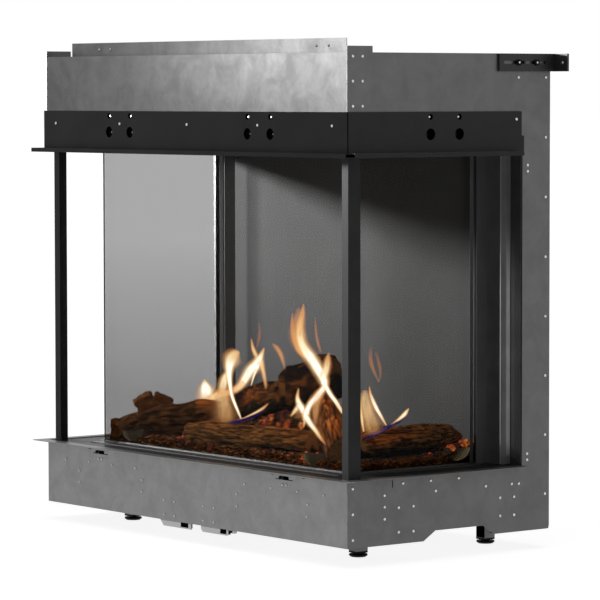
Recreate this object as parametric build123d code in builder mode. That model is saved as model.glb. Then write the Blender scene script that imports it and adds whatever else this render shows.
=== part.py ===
from build123d import *
from math import cos, radians, sin
import os

os.makedirs("parts", exist_ok=True)

# The casing is a tall box of bent sheet steel, glazed on its front and both sides.
# Its origin is on the floor, under the middle of its outline.
casing_width = 1077
casing_depth = 547
sheet = 1.5
play = 0.3

# What stands out of the casing: the lip and flange round the opening, and the wall brackets.
overhang = 25
wall_gap = 13

# Heights, from the floor up.
ground_gap = 40
base_height = 139
opening_height = 650
lip_height = 9
head_height = 203

front = overhang - (overhang + casing_depth + wall_gap) / 2
rear = front + casing_depth
middle = front + casing_depth / 2
half = casing_width / 2
inner_half = half - sheet
underside = ground_gap
flange_top = underside + base_height
sill_top = flange_top - sheet
opening_top = flange_top + opening_height
lip_top = opening_top + lip_height
casing_top = lip_top + head_height

# The rear column, and the glass box that stands inside the opening.
column_depth = 77
wall_step = 16
glass = 4
glass_front_inset = 88
glass_side_inset = 95
channel_depth = 30
pane_rise = 9
chamber_height = 156
column_front = rear - column_depth
wall_front = column_front - wall_step
pane_front = front + glass_front_inset
pane_side = half - glass_side_inset
pane_top = opening_top + pane_rise
channel_front = pane_front - play - sheet
channel_back = pane_front + glass + play + sheet
channel_outer = pane_side + play + sheet
channel_inner = pane_side - glass - play - sheet

# The floor pan of the base and the feet under it.
floor_gap = 20
pan_flange = 20
floor_bottom = underside + floor_gap
floor_top = floor_bottom + sheet


# Bent sheet seen end on: its outer line, thickened towards one side.
def folded(plane, points, gauge, side=Side.LEFT):
    with BuildSketch(plane, mode=Mode.PRIVATE) as strip:
        with BuildLine():
            Polyline(*points)
            offset(amount=gauge, side=side, kind=Kind.INTERSECTION)
        make_face()
    return strip.sketch


# A plain block between two opposite corners.
def block(low, high, mode=Mode.ADD):
    size = [b - a for a, b in zip(low, high)]
    centre = tuple((a + b) / 2 for a, b in zip(low, high))
    with Locations(centre):
        Box(*size, mode=mode)


# A plane that faces the front of the casing, at a depth y.
def facing(y):
    return Plane(origin=(0, y, 0), x_dir=(1, 0, 0), z_dir=(0, -1, 0))


def keep(part, name):
    part.label = name
    export_step(part, f"parts/{name}.step")


# Writes a piece of the right side and its mirror image on the left.
def keep_pair(right, name):
    with BuildPart() as left:
        mirror(right, about=Plane.YZ)
    keep(right, f"{name}_right")
    keep(left.part, f"{name}_left")


# Base front panel, folded in under the base and out round the foot of the opening.
# Two cut-outs take the sill clips, and two gaps in the lower fold pass the floor brackets.
base_return = 20
clip_places = (-333, 331)
clip_opening = 30
clip_height = 8
clip_drop = 7
clip_slit = 57
slit_height = 1.8
clip_top = flange_top - clip_drop - sheet
bracket_widths = (114, 124)
bracket_starts = (-110.5, 39)
dash_length = 12
dash_height = 1
dash_places = (-374, 291, 395)

with BuildPart() as base_front_panel:
    base_line = (
        (front - overhang, sill_top),
        (front, sill_top),
        (front, underside),
        (front + base_return, underside),
    )
    extrude(folded(Plane.YZ, base_line, sheet), amount=inner_half, both=True)
    with BuildSketch(Plane.XY.offset(sill_top)):
        with Locations((0, front - overhang / 2)):
            Rectangle(casing_width + 2 * overhang, overhang)
    extrude(amount=sheet)
    with BuildSketch(facing(front + sheet)):
        for x in clip_places:
            with Locations((x, clip_top - clip_height / 2)):
                Rectangle(clip_opening, clip_height)
            with Locations((x, clip_top - clip_height + slit_height / 2)):
                Rectangle(clip_slit, slit_height)
        for x in dash_places:
            with Locations((x, clip_top + dash_height)):
                Rectangle(dash_length, dash_height)
    extrude(amount=sheet, mode=Mode.SUBTRACT)
    for start, width in zip(bracket_starts, bracket_widths):
        block(
            (start - sheet, front + sheet, underside),
            (start + width + sheet, front + base_return, underside + sheet),
            Mode.SUBTRACT,
        )
keep(base_front_panel.part, "base_front_panel")


# Side panels: one flat sheet each, open towards the front round the window,
# with a raised corner at the top, a hand notch below and a flange that stands out
# at the foot of the opening.
corner_depth = 66
corner_height = 13
notch_start = 200.6
notch_gap = 152
notch_lean = 32
notch_height = 20
notch_end = casing_depth - notch_gap
column_radius = 8
slit_inset = 118.3
slit_drop = 14.3
slit_length = 15.8
slit_width = 2

with BuildPart() as side_panel:
    with BuildSketch(Plane.YZ.offset(inner_half)) as side_outline:
        with BuildLine():
            Polyline(
                (front, underside),
                (front + notch_start, underside),
                (front + notch_start + notch_lean, underside + notch_height),
                (front + notch_end - notch_lean, underside + notch_height),
                (front + notch_end, underside),
                (rear, underside),
                (rear, casing_top),
                (front + corner_depth, casing_top),
                (front + corner_depth, casing_top + corner_height),
                (front, casing_top + corner_height),
                (front, lip_top),
                (column_front, lip_top),
                (column_front, flange_top),
                (front, flange_top),
                close=True,
            )
        make_face()
        low_corners = side_outline.vertices().group_by(Axis.Y)[0]
        fillet(low_corners.sort_by(Axis.X)[-1], radius=column_radius)
        with Locations((front + slit_inset, flange_top - slit_drop)):
            Rectangle(slit_width, slit_length, mode=Mode.SUBTRACT)
    extrude(amount=sheet)
    block((half, front, sill_top), (half + overhang, column_front, flange_top))
    block(
        (inner_half - base_return, front + base_return, underside),
        (inner_half, front + notch_start, underside + sheet),
    )
    block(
        (inner_half - base_return, front + notch_end, underside),
        (inner_half, rear - base_return - column_radius, underside + sheet),
    )
keep_pair(side_panel.part, "side_panel")


# The burner tray hangs in the foot of the opening, and the gas valve lies in the room
# that is left between it and the floor pan, with the gas pipe straight behind it.
tray_depth = 40
valve_gap = 11.5
pipe_side_gap = 228.5
tray_bottom = flange_top - tray_depth
valve_top = tray_bottom - valve_gap
valve_level = (floor_top + valve_top) / 2
pipe_place = half - pipe_side_gap


# Rear panel: a sheet with both edges folded forwards, and an access hole round the gas pipe.
pipe_radius = 7.5
pipe_hole = 30

with BuildPart() as rear_panel:
    rear_line = (
        (-inner_half, rear - base_return),
        (-inner_half, rear),
        (inner_half, rear),
        (inner_half, rear - base_return),
    )
    extrude(
        folded(Plane.XY.offset(underside), rear_line, sheet, Side.RIGHT),
        amount=casing_top - underside,
    )
    with BuildSketch(facing(rear)):
        with Locations((pipe_place, valve_level)):
            Circle(pipe_hole)
    extrude(amount=sheet, mode=Mode.SUBTRACT)
keep(rear_panel.part, "rear_panel")


# Front top panel, folded back along both side panels.
top_fold = 50

with BuildPart() as front_top_panel:
    top_line = (
        (-inner_half, front + top_fold),
        (-inner_half, front),
        (inner_half, front),
        (inner_half, front + top_fold),
    )
    extrude(folded(Plane.XY.offset(lip_top), top_line, sheet), amount=head_height)
keep(front_top_panel.part, "front_top_panel")


# Base floor and top plate: two pans, one facing up and one facing down.
# The top plate has the hole for the flue.
flue_gap = 257
flue_radius = 100
inner_flue_radius = 65
flue_wall = 1
flue_height = 30
flue_centre = rear - flue_gap
pan_width = casing_width - 4 * sheet
pan_depth = casing_depth - 2 * sheet

with BuildPart() as base_floor:
    with BuildSketch(Plane.XY.offset(floor_bottom)):
        with Locations((0, middle)):
            Rectangle(pan_width, pan_depth)
    extrude(amount=pan_flange)
    offset(amount=-sheet, openings=base_floor.faces().sort_by(Axis.Z)[-1])
keep(base_floor.part, "base_floor")

with BuildPart() as top_plate:
    with BuildSketch(Plane.XY.offset(casing_top - pan_flange)):
        with Locations((0, middle)):
            Rectangle(pan_width, pan_depth)
    extrude(amount=pan_flange)
    offset(amount=-sheet, openings=top_plate.faces().sort_by(Axis.Z)[0])
    with Locations((0, flue_centre, casing_top)):
        Hole(radius=flue_radius - flue_wall)
keep(top_plate.part, "top_plate")


# Top strip: an angle that stands on the top plate behind the front edge.
strip_inset = 37.5
strip_end_gap = 48.5
strip_height = 30
strip_foot = 25

with BuildPart() as top_strip:
    strip_line = (
        (front + strip_inset + strip_foot, casing_top),
        (front + strip_inset, casing_top),
        (front + strip_inset, casing_top + strip_height),
    )
    extrude(folded(Plane.YZ, strip_line, sheet, Side.RIGHT), amount=half - strip_end_gap, both=True)
keep(top_strip.part, "top_strip")


# The black frame over the opening: a shallow pan on each side, with a hollow lip below.
frame_height = 83
frame_proud = 4
frame_top = lip_top + frame_height
frame_end_gap = 6
lip_end_gap = 17
end_tab = 9
end_tab_height = 32
pin_hole = 6
screw_hole = 12
pin_height = 72.4
screw_height = 37
front_hole_places = (-288, -210, 212.5, 290)
side_hole_insets = (216, 293.5)
frame_depth = column_front - frame_end_gap - front
lip_depth = column_front - lip_end_gap - front


# The fixing holes of a frame, each pair one above the other.
def frame_holes(plane, places):
    with BuildSketch(plane, mode=Mode.PRIVATE) as holes:
        for place in places:
            with Locations((place, lip_top + pin_height)):
                Circle(pin_hole)
            with Locations((place, lip_top + screw_height)):
                Circle(screw_hole)
    return holes.sketch


with BuildPart() as frame_front:
    face_line = (
        (front, frame_top),
        (front - frame_proud, frame_top),
        (front - frame_proud, lip_top),
    )
    lip_line = (
        (front - frame_proud + sheet, lip_top),
        (front - overhang, lip_top),
        (front - overhang, opening_top),
        (front, opening_top),
    )
    extrude(folded(Plane.YZ, face_line, sheet), amount=half + frame_proud, both=True)
    extrude(folded(Plane.YZ, lip_line, sheet), amount=half + overhang, both=True)
    holes = frame_holes(facing(front), front_hole_places)
    extrude(holes, amount=frame_proud, mode=Mode.SUBTRACT)
keep(frame_front.part, "frame_front")

with BuildPart() as frame_side:
    face_line = (
        (half, frame_top),
        (half + frame_proud, frame_top),
        (half + frame_proud, lip_top),
    )
    lip_line = (
        (half + frame_proud - sheet, lip_top),
        (half + overhang, lip_top),
        (half + overhang, opening_top),
        (half, opening_top),
    )
    extrude(folded(facing(front), face_line, sheet, Side.RIGHT), amount=-frame_depth)
    extrude(folded(facing(front), lip_line, sheet, Side.RIGHT), amount=-lip_depth)
    tab_end = front + frame_depth + end_tab
    block((half, front + frame_depth, lip_top), (half + sheet, tab_end, lip_top + end_tab_height))
    block(
        (half, front + frame_depth - sheet, lip_top),
        (half + frame_proud, front + frame_depth, lip_top + end_tab_height),
    )
    holes = frame_holes(Plane.YZ.offset(half), [front + inset for inset in side_hole_insets])
    extrude(holes, amount=frame_proud, mode=Mode.SUBTRACT)
keep_pair(frame_side.part, "frame")


# Corner posts: plain angles. The front pair stands free on the sill, and the rear pair
# runs the whole height of the columns.
post = 2
post_inset = 12
front_post_width = 20
front_post_depth = 32
rear_post_width = 35.5
rear_post_depth = 40
post_corner = half - post_inset

with BuildPart() as front_post:
    post_line = (
        (post_corner - front_post_width, front + post_inset),
        (post_corner, front + post_inset),
        (post_corner, front + post_inset + front_post_depth),
    )
    extrude(folded(Plane.XY.offset(sill_top), post_line, post), amount=opening_top - sill_top)
keep_pair(front_post.part, "front_post")

with BuildPart() as rear_post:
    post_line = (
        (inner_half - rear_post_width, column_front),
        (inner_half, column_front),
        (inner_half, column_front + rear_post_depth),
    )
    post_foot = floor_bottom + pan_flange
    extrude(
        folded(Plane.XY.offset(post_foot), post_line, post),
        amount=casing_top - pan_flange - post_foot,
    )
keep_pair(rear_post.part, "rear_post")


# Sills between the casing and the burner tray, each with its inner edge folded down.
sill_ledge = 8
sill_fold = 12
tray_front = pane_front + glass + sill_ledge
tray_side = pane_side - glass - sill_ledge

with BuildPart() as sill_front:
    sill_line = (
        (front + sheet, sill_top),
        (tray_front, sill_top),
        (tray_front, sill_top - sill_fold),
    )
    extrude(folded(Plane.YZ, sill_line, sheet, Side.RIGHT), amount=inner_half, both=True)
keep(sill_front.part, "sill_front")

with BuildPart() as sill_side:
    sill_line = (
        (inner_half, sill_top),
        (tray_side, sill_top),
        (tray_side, sill_top - sill_fold),
    )
    extrude(folded(facing(tray_front), sill_line, sheet), amount=tray_front - column_front)
keep_pair(sill_side.part, "sill")


# Soffits over the opening, folded up at the casing and again at the glass.
soffit_fold = 14

with BuildPart() as soffit_front:
    soffit_line = (
        (front, lip_top),
        (front, opening_top),
        (channel_front, opening_top),
        (channel_front, opening_top + soffit_fold),
    )
    extrude(folded(Plane.YZ, soffit_line, sheet), amount=inner_half, both=True)
keep(soffit_front.part, "soffit_front")

with BuildPart() as soffit_side:
    soffit_line = (
        (half, lip_top),
        (half, opening_top),
        (channel_outer, opening_top),
        (channel_outer, opening_top + soffit_fold),
    )
    soffit_end = channel_front - column_front
    extrude(folded(facing(channel_front), soffit_line, sheet, Side.RIGHT), amount=soffit_end)
with BuildPart() as side_soffits:
    add(soffit_side.part)
    mirror(soffit_side.part, about=Plane.YZ)
keep(side_soffits.part, "side_soffits")


# Back wall of the fire chamber, with a return folded rearwards beside it on each side.
return_inset = 49

with BuildPart() as back_wall:
    block(
        (-pane_side, wall_front, sill_top),
        (pane_side, wall_front + sheet, opening_top + chamber_height),
    )
keep(back_wall.part, "back_wall")

with BuildPart() as rear_return:
    return_line = (
        (pane_side, wall_front),
        (half - return_inset, wall_front),
        (half - return_inset, column_front),
    )
    extrude(folded(Plane.XY.offset(sill_top), return_line, sheet), amount=opening_top - sill_top)
with BuildPart() as rear_returns:
    add(rear_return.part)
    mirror(rear_return.part, about=Plane.YZ)
keep(rear_returns.part, "rear_returns")


# The glass box: three panes that stand on the sills, butted at the front corners.
# Head channels hold their top edges, stiles the rear edges of the side panes.
channel_bottom = opening_top + sheet
channel_top = pane_top + play + sheet

with BuildPart() as glass_front:
    block(
        (-pane_side, pane_front, sill_top),
        (pane_side, pane_front + glass, pane_top),
    )
keep(glass_front.part, "glass_front")

with BuildPart() as glass_side:
    block(
        (pane_side - glass, pane_front + glass, sill_top),
        (pane_side, wall_front - sheet - play, pane_top),
    )
keep_pair(glass_side.part, "glass")

with BuildPart() as glass_stile:
    stile_line = (
        (channel_inner, wall_front - channel_depth),
        (channel_inner, wall_front),
        (channel_outer, wall_front),
        (channel_outer, wall_front - channel_depth),
    )
    stile = folded(Plane.XY.offset(sill_top), stile_line, sheet, Side.RIGHT)
    extrude(stile, amount=opening_top - sill_top)
with BuildPart() as glass_stiles:
    add(glass_stile.part)
    mirror(glass_stile.part, about=Plane.YZ)
keep(glass_stiles.part, "glass_stiles")

with BuildPart() as head_channels:
    front_channel = (
        (channel_front, channel_bottom),
        (channel_front, channel_top),
        (channel_back, channel_top),
        (channel_back, channel_bottom),
    )
    side_channel = (
        (channel_inner, channel_bottom),
        (channel_inner, channel_top),
        (channel_outer, channel_top),
        (channel_outer, channel_bottom),
    )
    extrude(folded(Plane.YZ, front_channel, sheet, Side.RIGHT), amount=channel_inner - play, both=True)
    channel_run = folded(facing(channel_back + play), side_channel, sheet, Side.RIGHT)
    right_channel = extrude(channel_run, amount=channel_back + play - wall_front)
    mirror(right_channel, about=Plane.YZ)
keep(head_channels.part, "head_channels")


# Retainers: angles on the sills that hold the foot of each pane from outside.
retainer_width = 36
retainer_rise = 4
retainer_side_width = 24

with BuildPart() as retainer_front:
    retainer_line = (
        (pane_front - play - retainer_width, sill_top),
        (pane_front - play, sill_top),
        (pane_front - play, sill_top + retainer_rise),
    )
    extrude(folded(Plane.YZ, retainer_line, sheet), amount=pane_side, both=True)
keep(retainer_front.part, "retainer_front")

with BuildPart() as retainer_side:
    retainer_line = (
        (pane_side + play + retainer_side_width, sill_top),
        (pane_side + play, sill_top),
        (pane_side + play, sill_top + retainer_rise),
    )
    retainer_end = wall_front - channel_depth - play
    retainer = folded(facing(pane_front), retainer_line, sheet, Side.RIGHT)
    extrude(retainer, amount=pane_front - retainer_end)
with BuildPart() as side_retainers:
    add(retainer_side.part)
    mirror(retainer_side.part, about=Plane.YZ)
keep(side_retainers.part, "side_retainers")


# Hood over the fire chamber: a box open below, with the inner flue on its roof.
hood_top = opening_top + chamber_height

with BuildPart() as chamber_hood:
    with BuildSketch(Plane.XY.offset(channel_bottom)):
        with Locations((0, (channel_back + wall_front) / 2)):
            Rectangle(2 * channel_inner, wall_front - channel_back)
    extrude(amount=hood_top - channel_bottom)
    offset(amount=-sheet, openings=chamber_hood.faces().sort_by(Axis.Z)[0])
    with Locations((0, flue_centre, hood_top)):
        Hole(radius=inner_flue_radius - flue_wall)
keep(chamber_hood.part, "chamber_hood")


# Flue spigots, one inside the other: tubes with a flange at the foot.
collar = 18


def spigot(radius, foot, name):
    top = casing_top + flue_height
    bore = radius - flue_wall
    with BuildPart() as tube:
        with BuildSketch(Plane.XZ.offset(-flue_centre)):
            with BuildLine():
                Polyline(
                    (bore, foot),
                    (radius + collar, foot),
                    (radius + collar, foot + sheet),
                    (radius, foot + sheet),
                    (radius, top),
                    (bore, top),
                    close=True,
                )
            make_face()
        revolve(axis=Axis((0, flue_centre, 0), (0, 0, 1)))
    keep(tube.part, name)


spigot(flue_radius, casing_top, "flue_spigot_outer")
spigot(inner_flue_radius, hood_top, "flue_spigot_inner")


# Burner tray in the middle of the opening: its rim rests on the sills.
tray_rim = 5.5
tray_gap = 7
tray_rear = wall_front - tray_gap
tray_middle = (tray_front + tray_rear) / 2

with BuildPart() as burner_tray:
    with BuildSketch(Plane.XY.offset(tray_bottom)):
        with Locations((0, tray_middle)):
            Rectangle(2 * tray_side, tray_rear - tray_front)
    extrude(amount=tray_depth)
    offset(amount=-sheet, openings=burner_tray.faces().sort_by(Axis.Z)[-1])
    with BuildSketch(Plane.XY.offset(sill_top)):
        with Locations((0, tray_middle)):
            Rectangle(2 * (tray_side + tray_rim), tray_rear - tray_front + 2 * tray_rim)
            Rectangle(
                2 * (tray_side - sheet),
                tray_rear - tray_front - 2 * sheet,
                mode=Mode.SUBTRACT,
            )
    extrude(amount=sheet)
keep(burner_tray.part, "burner_tray")


# Burner in the tray: a flat box with rows of gas ports in its lid.
burner_side_gap = 71.5
burner_front_gap = 57
burner_rear_gap = 60
burner_height = 24
port_width = 4
port_columns = 8
port_rows = 3
port_share = 0.083
port_step_share = 0.117
port_row_share = 0.3
burner_length = 2 * (tray_side - burner_side_gap)
burner_depth = tray_rear - burner_rear_gap - tray_front - burner_front_gap
burner_y = tray_rear - burner_rear_gap - burner_depth / 2
port_length = burner_length * port_share
port_step = burner_length * port_step_share
port_row_step = burner_depth * port_row_share
burner_bottom = tray_bottom + sheet
burner_top = burner_bottom + burner_height

with BuildPart() as burner:
    with BuildSketch(Plane.XY.offset(burner_bottom)):
        with Locations((0, burner_y)):
            Rectangle(burner_length, burner_depth)
    extrude(amount=burner_height)
    offset(amount=-sheet, openings=burner.faces().sort_by(Axis.Z)[0])
    with BuildSketch(Plane.XY.offset(burner_top)):
        with Locations((0, burner_y)):
            with GridLocations(port_step, port_row_step, port_columns, port_rows):
                SlotOverall(port_length, port_width)
    extrude(amount=-sheet, mode=Mode.SUBTRACT)
keep(burner.part, "burner")


# Pilot burner behind the burner: a bracket with a hood and an igniter rod.
pilot_place = -200
pilot_gap = 12
pilot_width = 40
pilot_height = 52
pilot_hood = 7
igniter = 2.5
pilot_y = tray_rear - sheet - pilot_gap

with BuildPart() as pilot_burner:
    block(
        (pilot_place - pilot_width / 2, pilot_y - pilot_gap, burner_bottom),
        (pilot_place + pilot_width / 2, pilot_y + pilot_gap / 2, burner_bottom + sheet),
    )
    with BuildSketch(Plane.XY.offset(burner_bottom)):
        with Locations((pilot_place - pilot_width / 4, pilot_y - play)):
            Circle(pilot_hood)
        with Locations((pilot_place + pilot_width / 4, pilot_y)):
            Circle(igniter)
    extrude(amount=pilot_height)
keep(pilot_burner.part, "pilot_burner")


# Ember bed: a low mound of loose chips and vermiculite that covers the burner.
bed_gap = 3
bed_slope = 22
bed_corner = 12
skirt_gap = 2.5
pile_height = 200
crown_share = 0.17
bed_front = tray_front + sheet + bed_gap
bed_rear = pilot_y - pilot_gap - bed_gap
bed_side = tray_side - sheet - bed_gap
skirt_front = pane_front + glass + skirt_gap
skirt_side = pane_side - glass - skirt_gap
crown = burner_top + pile_height * crown_share

# The heap between the logs: its left, right, front and rear edges at a level, in shares of
# the bed's half width, of its depth and of the pile's height.
heap_shares = (
    ((-0.586, 0.82, 0.266, 0.979, 0.17), (-0.351, 0.703, 0.393, 0.852, 0.4025)),
    ((-0.141, 0.562, 0.4, 0.75, 0.4025), (-0.023, 0.445, 0.432, 0.654, 0.5075)),
)


# A level outline of the bed, with rounded corners.
def bed_outline(left, right, front_edge, rear_edge, level):
    with BuildSketch(Plane.XY.offset(level), mode=Mode.PRIVATE) as outline:
        with Locations(((left + right) / 2, (front_edge + rear_edge) / 2)):
            RectangleRounded(right - left, rear_edge - front_edge, bed_corner)
    return outline.sketch


# A place in the pile, from its shares of the bed and of the pile.
def pile_point(across, back, up):
    x = bed_side * across
    y = bed_front + (bed_rear - bed_front) * back
    return x, y, burner_top + pile_height * up


def heap_outline(left, right, front_edge, rear_edge, up):
    low_x, low_y, level = pile_point(left, front_edge, up)
    high_x, high_y, _ = pile_point(right, rear_edge, up)
    return bed_outline(low_x, high_x, low_y, high_y, level)


with BuildPart() as ember_bed:
    foot = bed_outline(-bed_side, bed_side, bed_front, bed_rear, burner_top)
    rim = bed_outline(-bed_side, bed_side, bed_front, bed_rear, flange_top)
    loft((foot, rim), ruled=True)
    skirt = bed_outline(-skirt_side, skirt_side, skirt_front, bed_rear, flange_top)
    top = bed_outline(
        bed_slope - skirt_side,
        skirt_side - bed_slope,
        skirt_front + bed_slope,
        bed_rear - bed_slope,
        crown,
    )
    loft((skirt, top), ruled=True)
    for low_shares, high_shares in heap_shares:
        loft((heap_outline(*low_shares), heap_outline(*high_shares)), ruled=True)
keep(ember_bed.part, "ember_bed")


# Gas valve on the base floor, with two knobs on its front.
valve_width = 120
valve_depth = 80
valve_setback = 182
valve_front = front + valve_setback
valve_edge = 6
knob_depth = 18
knob_spacing = 30
mode_radius = 13
flow_radius = 20
knob_shaft = 4
grip_width = 6
grip_depth = 8
dial_flutes = 12
dial_flute = 2

with BuildPart() as gas_valve:
    block(
        (pipe_place - valve_width / 2, valve_front, floor_top),
        (pipe_place + valve_width / 2, valve_front + valve_depth, valve_top),
    )
    chamfer(gas_valve.edges().filter_by(Axis.Z), valve_edge)
    with BuildSketch(facing(valve_front)):
        for x in (pipe_place - knob_spacing, pipe_place + knob_spacing):
            with Locations((x, valve_level)):
                Circle(knob_shaft)
    extrude(amount=knob_depth / 2)
keep(gas_valve.part, "gas_valve")


# The round outline of a knob, or of the bore over its shaft, just off the valve.
def knob_circle(x, radius):
    with BuildSketch(facing(valve_front - play), mode=Mode.PRIVATE) as circle:
        with Locations((x, valve_level)):
            Circle(radius)
    return circle.sketch


mode_place = pipe_place - knob_spacing
flow_place = pipe_place + knob_spacing
knob_face = valve_front - play - knob_depth

with BuildPart() as mode_knob:
    extrude(knob_circle(mode_place, mode_radius), amount=knob_depth)
    bore = knob_circle(mode_place, knob_shaft + play)
    extrude(bore, amount=knob_depth / 2, mode=Mode.SUBTRACT)
    block(
        (mode_place - grip_width / 2, knob_face - grip_depth, valve_level - mode_radius + sheet),
        (mode_place + grip_width / 2, knob_face, valve_level + mode_radius - sheet),
    )
keep(mode_knob.part, "mode_knob")

with BuildPart() as flow_knob:
    extrude(knob_circle(flow_place, flow_radius), amount=knob_depth)
    bore = knob_circle(flow_place, knob_shaft + play)
    extrude(bore, amount=knob_depth / 2, mode=Mode.SUBTRACT)
    with BuildSketch(facing(knob_face)):
        with Locations((flow_place, valve_level)):
            with PolarLocations(flow_radius, dial_flutes):
                Circle(dial_flute)
    extrude(amount=-knob_depth / 2, mode=Mode.SUBTRACT)
keep(flow_knob.part, "flow_knob")


# Pipes: the inlet runs straight from the valve out through the rear panel, and the
# burner pipe turns up from the side of the valve to the underside of the tray.
pipe_stub = 10
pipe_nut = 11
nut_length = 12
feed_radius = 4
feed_reach = 70
feed_bend = 20
valve_back = valve_front + valve_depth
valve_side = pipe_place - valve_width / 2
feed_end = valve_side - feed_reach
feed_y = valve_front + valve_depth / 2

with BuildPart() as inlet_pipe:
    with BuildSketch(facing(valve_back)):
        with Locations((pipe_place, valve_level)):
            Circle(pipe_radius)
    extrude(amount=valve_back - rear - pipe_stub)
    with BuildSketch(facing(valve_back)):
        with Locations((pipe_place, valve_level)):
            RegularPolygon(pipe_nut, 6)
    extrude(amount=-nut_length)
keep(inlet_pipe.part, "inlet_pipe")

with BuildPart() as burner_pipe:
    with BuildLine() as feed_line:
        FilletPolyline(
            (valve_side, feed_y, valve_level),
            (feed_end, feed_y, valve_level),
            (feed_end, feed_y, tray_bottom),
            radius=feed_bend,
        )
    with BuildSketch(Plane(origin=feed_line.line @ 0, z_dir=feed_line.line % 0)):
        Circle(feed_radius)
    sweep(path=feed_line.line)
keep(burner_pipe.part, "burner_pipe")


# Control box with the receiver and its batteries, on the left of the base floor.
control_side_gap = 238.5
control_width = 130
control_depth = 90
control_height = 34
control_edge = 5
control_place = control_side_gap - half

with BuildPart() as control_box:
    block(
        (control_place - control_width / 2, valve_front, floor_top),
        (control_place + control_width / 2, valve_front + control_depth, floor_top + control_height),
    )
    fillet(control_box.edges().filter_by(Axis.Z), control_edge)
    chamfer(control_box.faces().sort_by(Axis.Z)[-1].edges(), sheet)
keep(control_box.part, "control_box")


# Feet: a square leg and its cap are fixed to the base, and a round foot with a hexagonal
# nut and a threaded stud screws up and down in each cap.
foot_side_gap = 135.5
foot_front_gap = 138
foot_rear_gap = 59.5
foot_radius = 19.5
foot_base_radius = 15.5
foot_shoulder = 1.2
foot_height = 6.3
foot_nut_height = 2.3
foot_nut_width = 17
cap_height = 3.6
leg_size = 28
stud_radius = 5
stud_length = 45
cap_bottom = foot_height + foot_nut_height
cap_top = cap_bottom + cap_height
foot_side = half - foot_side_gap
foot_rows = (("front", front + foot_front_gap), ("rear", rear - foot_rear_gap))
foot_sides = (("left", -foot_side), ("right", foot_side))
foot_places = [(x, y) for _, y in foot_rows for _, x in foot_sides]

with BuildPart() as legs:
    with BuildSketch(Plane.XY.offset(cap_top)):
        with Locations(*foot_places):
            Rectangle(leg_size, leg_size)
            Rectangle(leg_size - 2 * sheet, leg_size - 2 * sheet, mode=Mode.SUBTRACT)
    extrude(amount=floor_bottom - cap_top)
keep(legs.part, "legs")

with BuildPart() as leg_caps:
    with BuildSketch(Plane.XY.offset(cap_bottom)):
        with Locations(*foot_places):
            Rectangle(leg_size, leg_size)
            Circle(stud_radius + play, mode=Mode.SUBTRACT)
    extrude(amount=cap_height)
keep(leg_caps.part, "leg_caps")


def foot(x, y, name):
    with BuildPart() as piece:
        with BuildSketch(Plane(origin=(x, y, 0), x_dir=(1, 0, 0), z_dir=(0, -1, 0))):
            with BuildLine():
                Polyline(
                    (0, 0),
                    (foot_base_radius, 0),
                    (foot_radius, foot_height / 2),
                    (foot_radius, foot_height - foot_shoulder),
                    (foot_radius - foot_shoulder, foot_height),
                    (0, foot_height),
                    close=True,
                )
            make_face()
        revolve(axis=Axis((x, y, 0), (0, 0, 1)))
        with BuildSketch(Plane.XY.offset(foot_height)):
            with Locations((x, y)):
                RegularPolygon(foot_nut_width / 2, 6, major_radius=False)
        extrude(amount=foot_nut_height)
        with BuildSketch(Plane.XY.offset(foot_height)):
            with Locations((x, y)):
                Circle(stud_radius)
        extrude(amount=stud_length)
    keep(piece.part, name)


for row, y in foot_rows:
    for side, x in foot_sides:
        foot(x, y, f"foot_{row}_{side}")


# Floor brackets: two plates that hang below the front edge, for screwing the fire down.
bracket_plate = 2
bracket_drop = 13
bracket_outline_shares = (
    ((0, 1), (0, 0.42), (0.12, 0), (1, 0), (1, 1)),
    ((0, 1), (0, 0.18), (0.05, 0), (0.74, 0), (1, 0.3), (1, 1)),
)
bracket_hole_shares = (
    ((0.67, 0.91, 0.08, 0.46),),
    ((0.55, 0.73, 0.08, 0.46), (0.78, 0.9, 0.12, 0.36)),
)
bracket_bottom = underside - bracket_drop
bracket_height = floor_bottom - bracket_bottom

with BuildPart() as floor_brackets:
    plates = zip(bracket_starts, bracket_widths, bracket_outline_shares, bracket_hole_shares)
    for start, width, outline_shares, hole_shares in plates:
        with BuildSketch(facing(front + sheet)):
            with BuildLine():
                corners = [
                    (start + u * width, bracket_bottom + v * bracket_height)
                    for u, v in outline_shares
                ]
                Polyline(*corners, close=True)
            make_face()
            for left, right, low, high in hole_shares:
                across = start + (left + right) * width / 2
                up = bracket_bottom + (low + high) * bracket_height / 2
                with Locations((across, up)):
                    Rectangle(
                        (right - left) * width,
                        (high - low) * bracket_height,
                        mode=Mode.SUBTRACT,
                    )
        extrude(amount=-bracket_plate)
keep(floor_brackets.part, "floor_brackets")


# Sill clips: a plate behind each cut-out of the base front, with a tongue that
# stands up behind the cut-out and a fin that reaches out through it.
clip_plate_height = 16
clip_plate_width = 26
clip_gauge = 1
clip_tongue = 8
clip_fin = 4

with BuildPart() as sill_clips:
    for x in clip_places:
        clip_left = x - clip_opening / 2
        clip_back = front + sheet
        tongue_foot = clip_top - clip_height
        block(
            (clip_left, clip_back, tongue_foot - clip_plate_height),
            (clip_left + clip_plate_width, clip_back + clip_gauge, tongue_foot),
        )
        block(
            (clip_left, clip_back, tongue_foot),
            (clip_left + clip_tongue, clip_back + clip_gauge, clip_top),
        )
        block(
            (clip_left + clip_gauge, front - clip_fin, tongue_foot + slit_height),
            (clip_left + 2 * clip_gauge, clip_back, clip_top - clip_gauge / 2),
        )
keep(sill_clips.part, "sill_clips")


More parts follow.
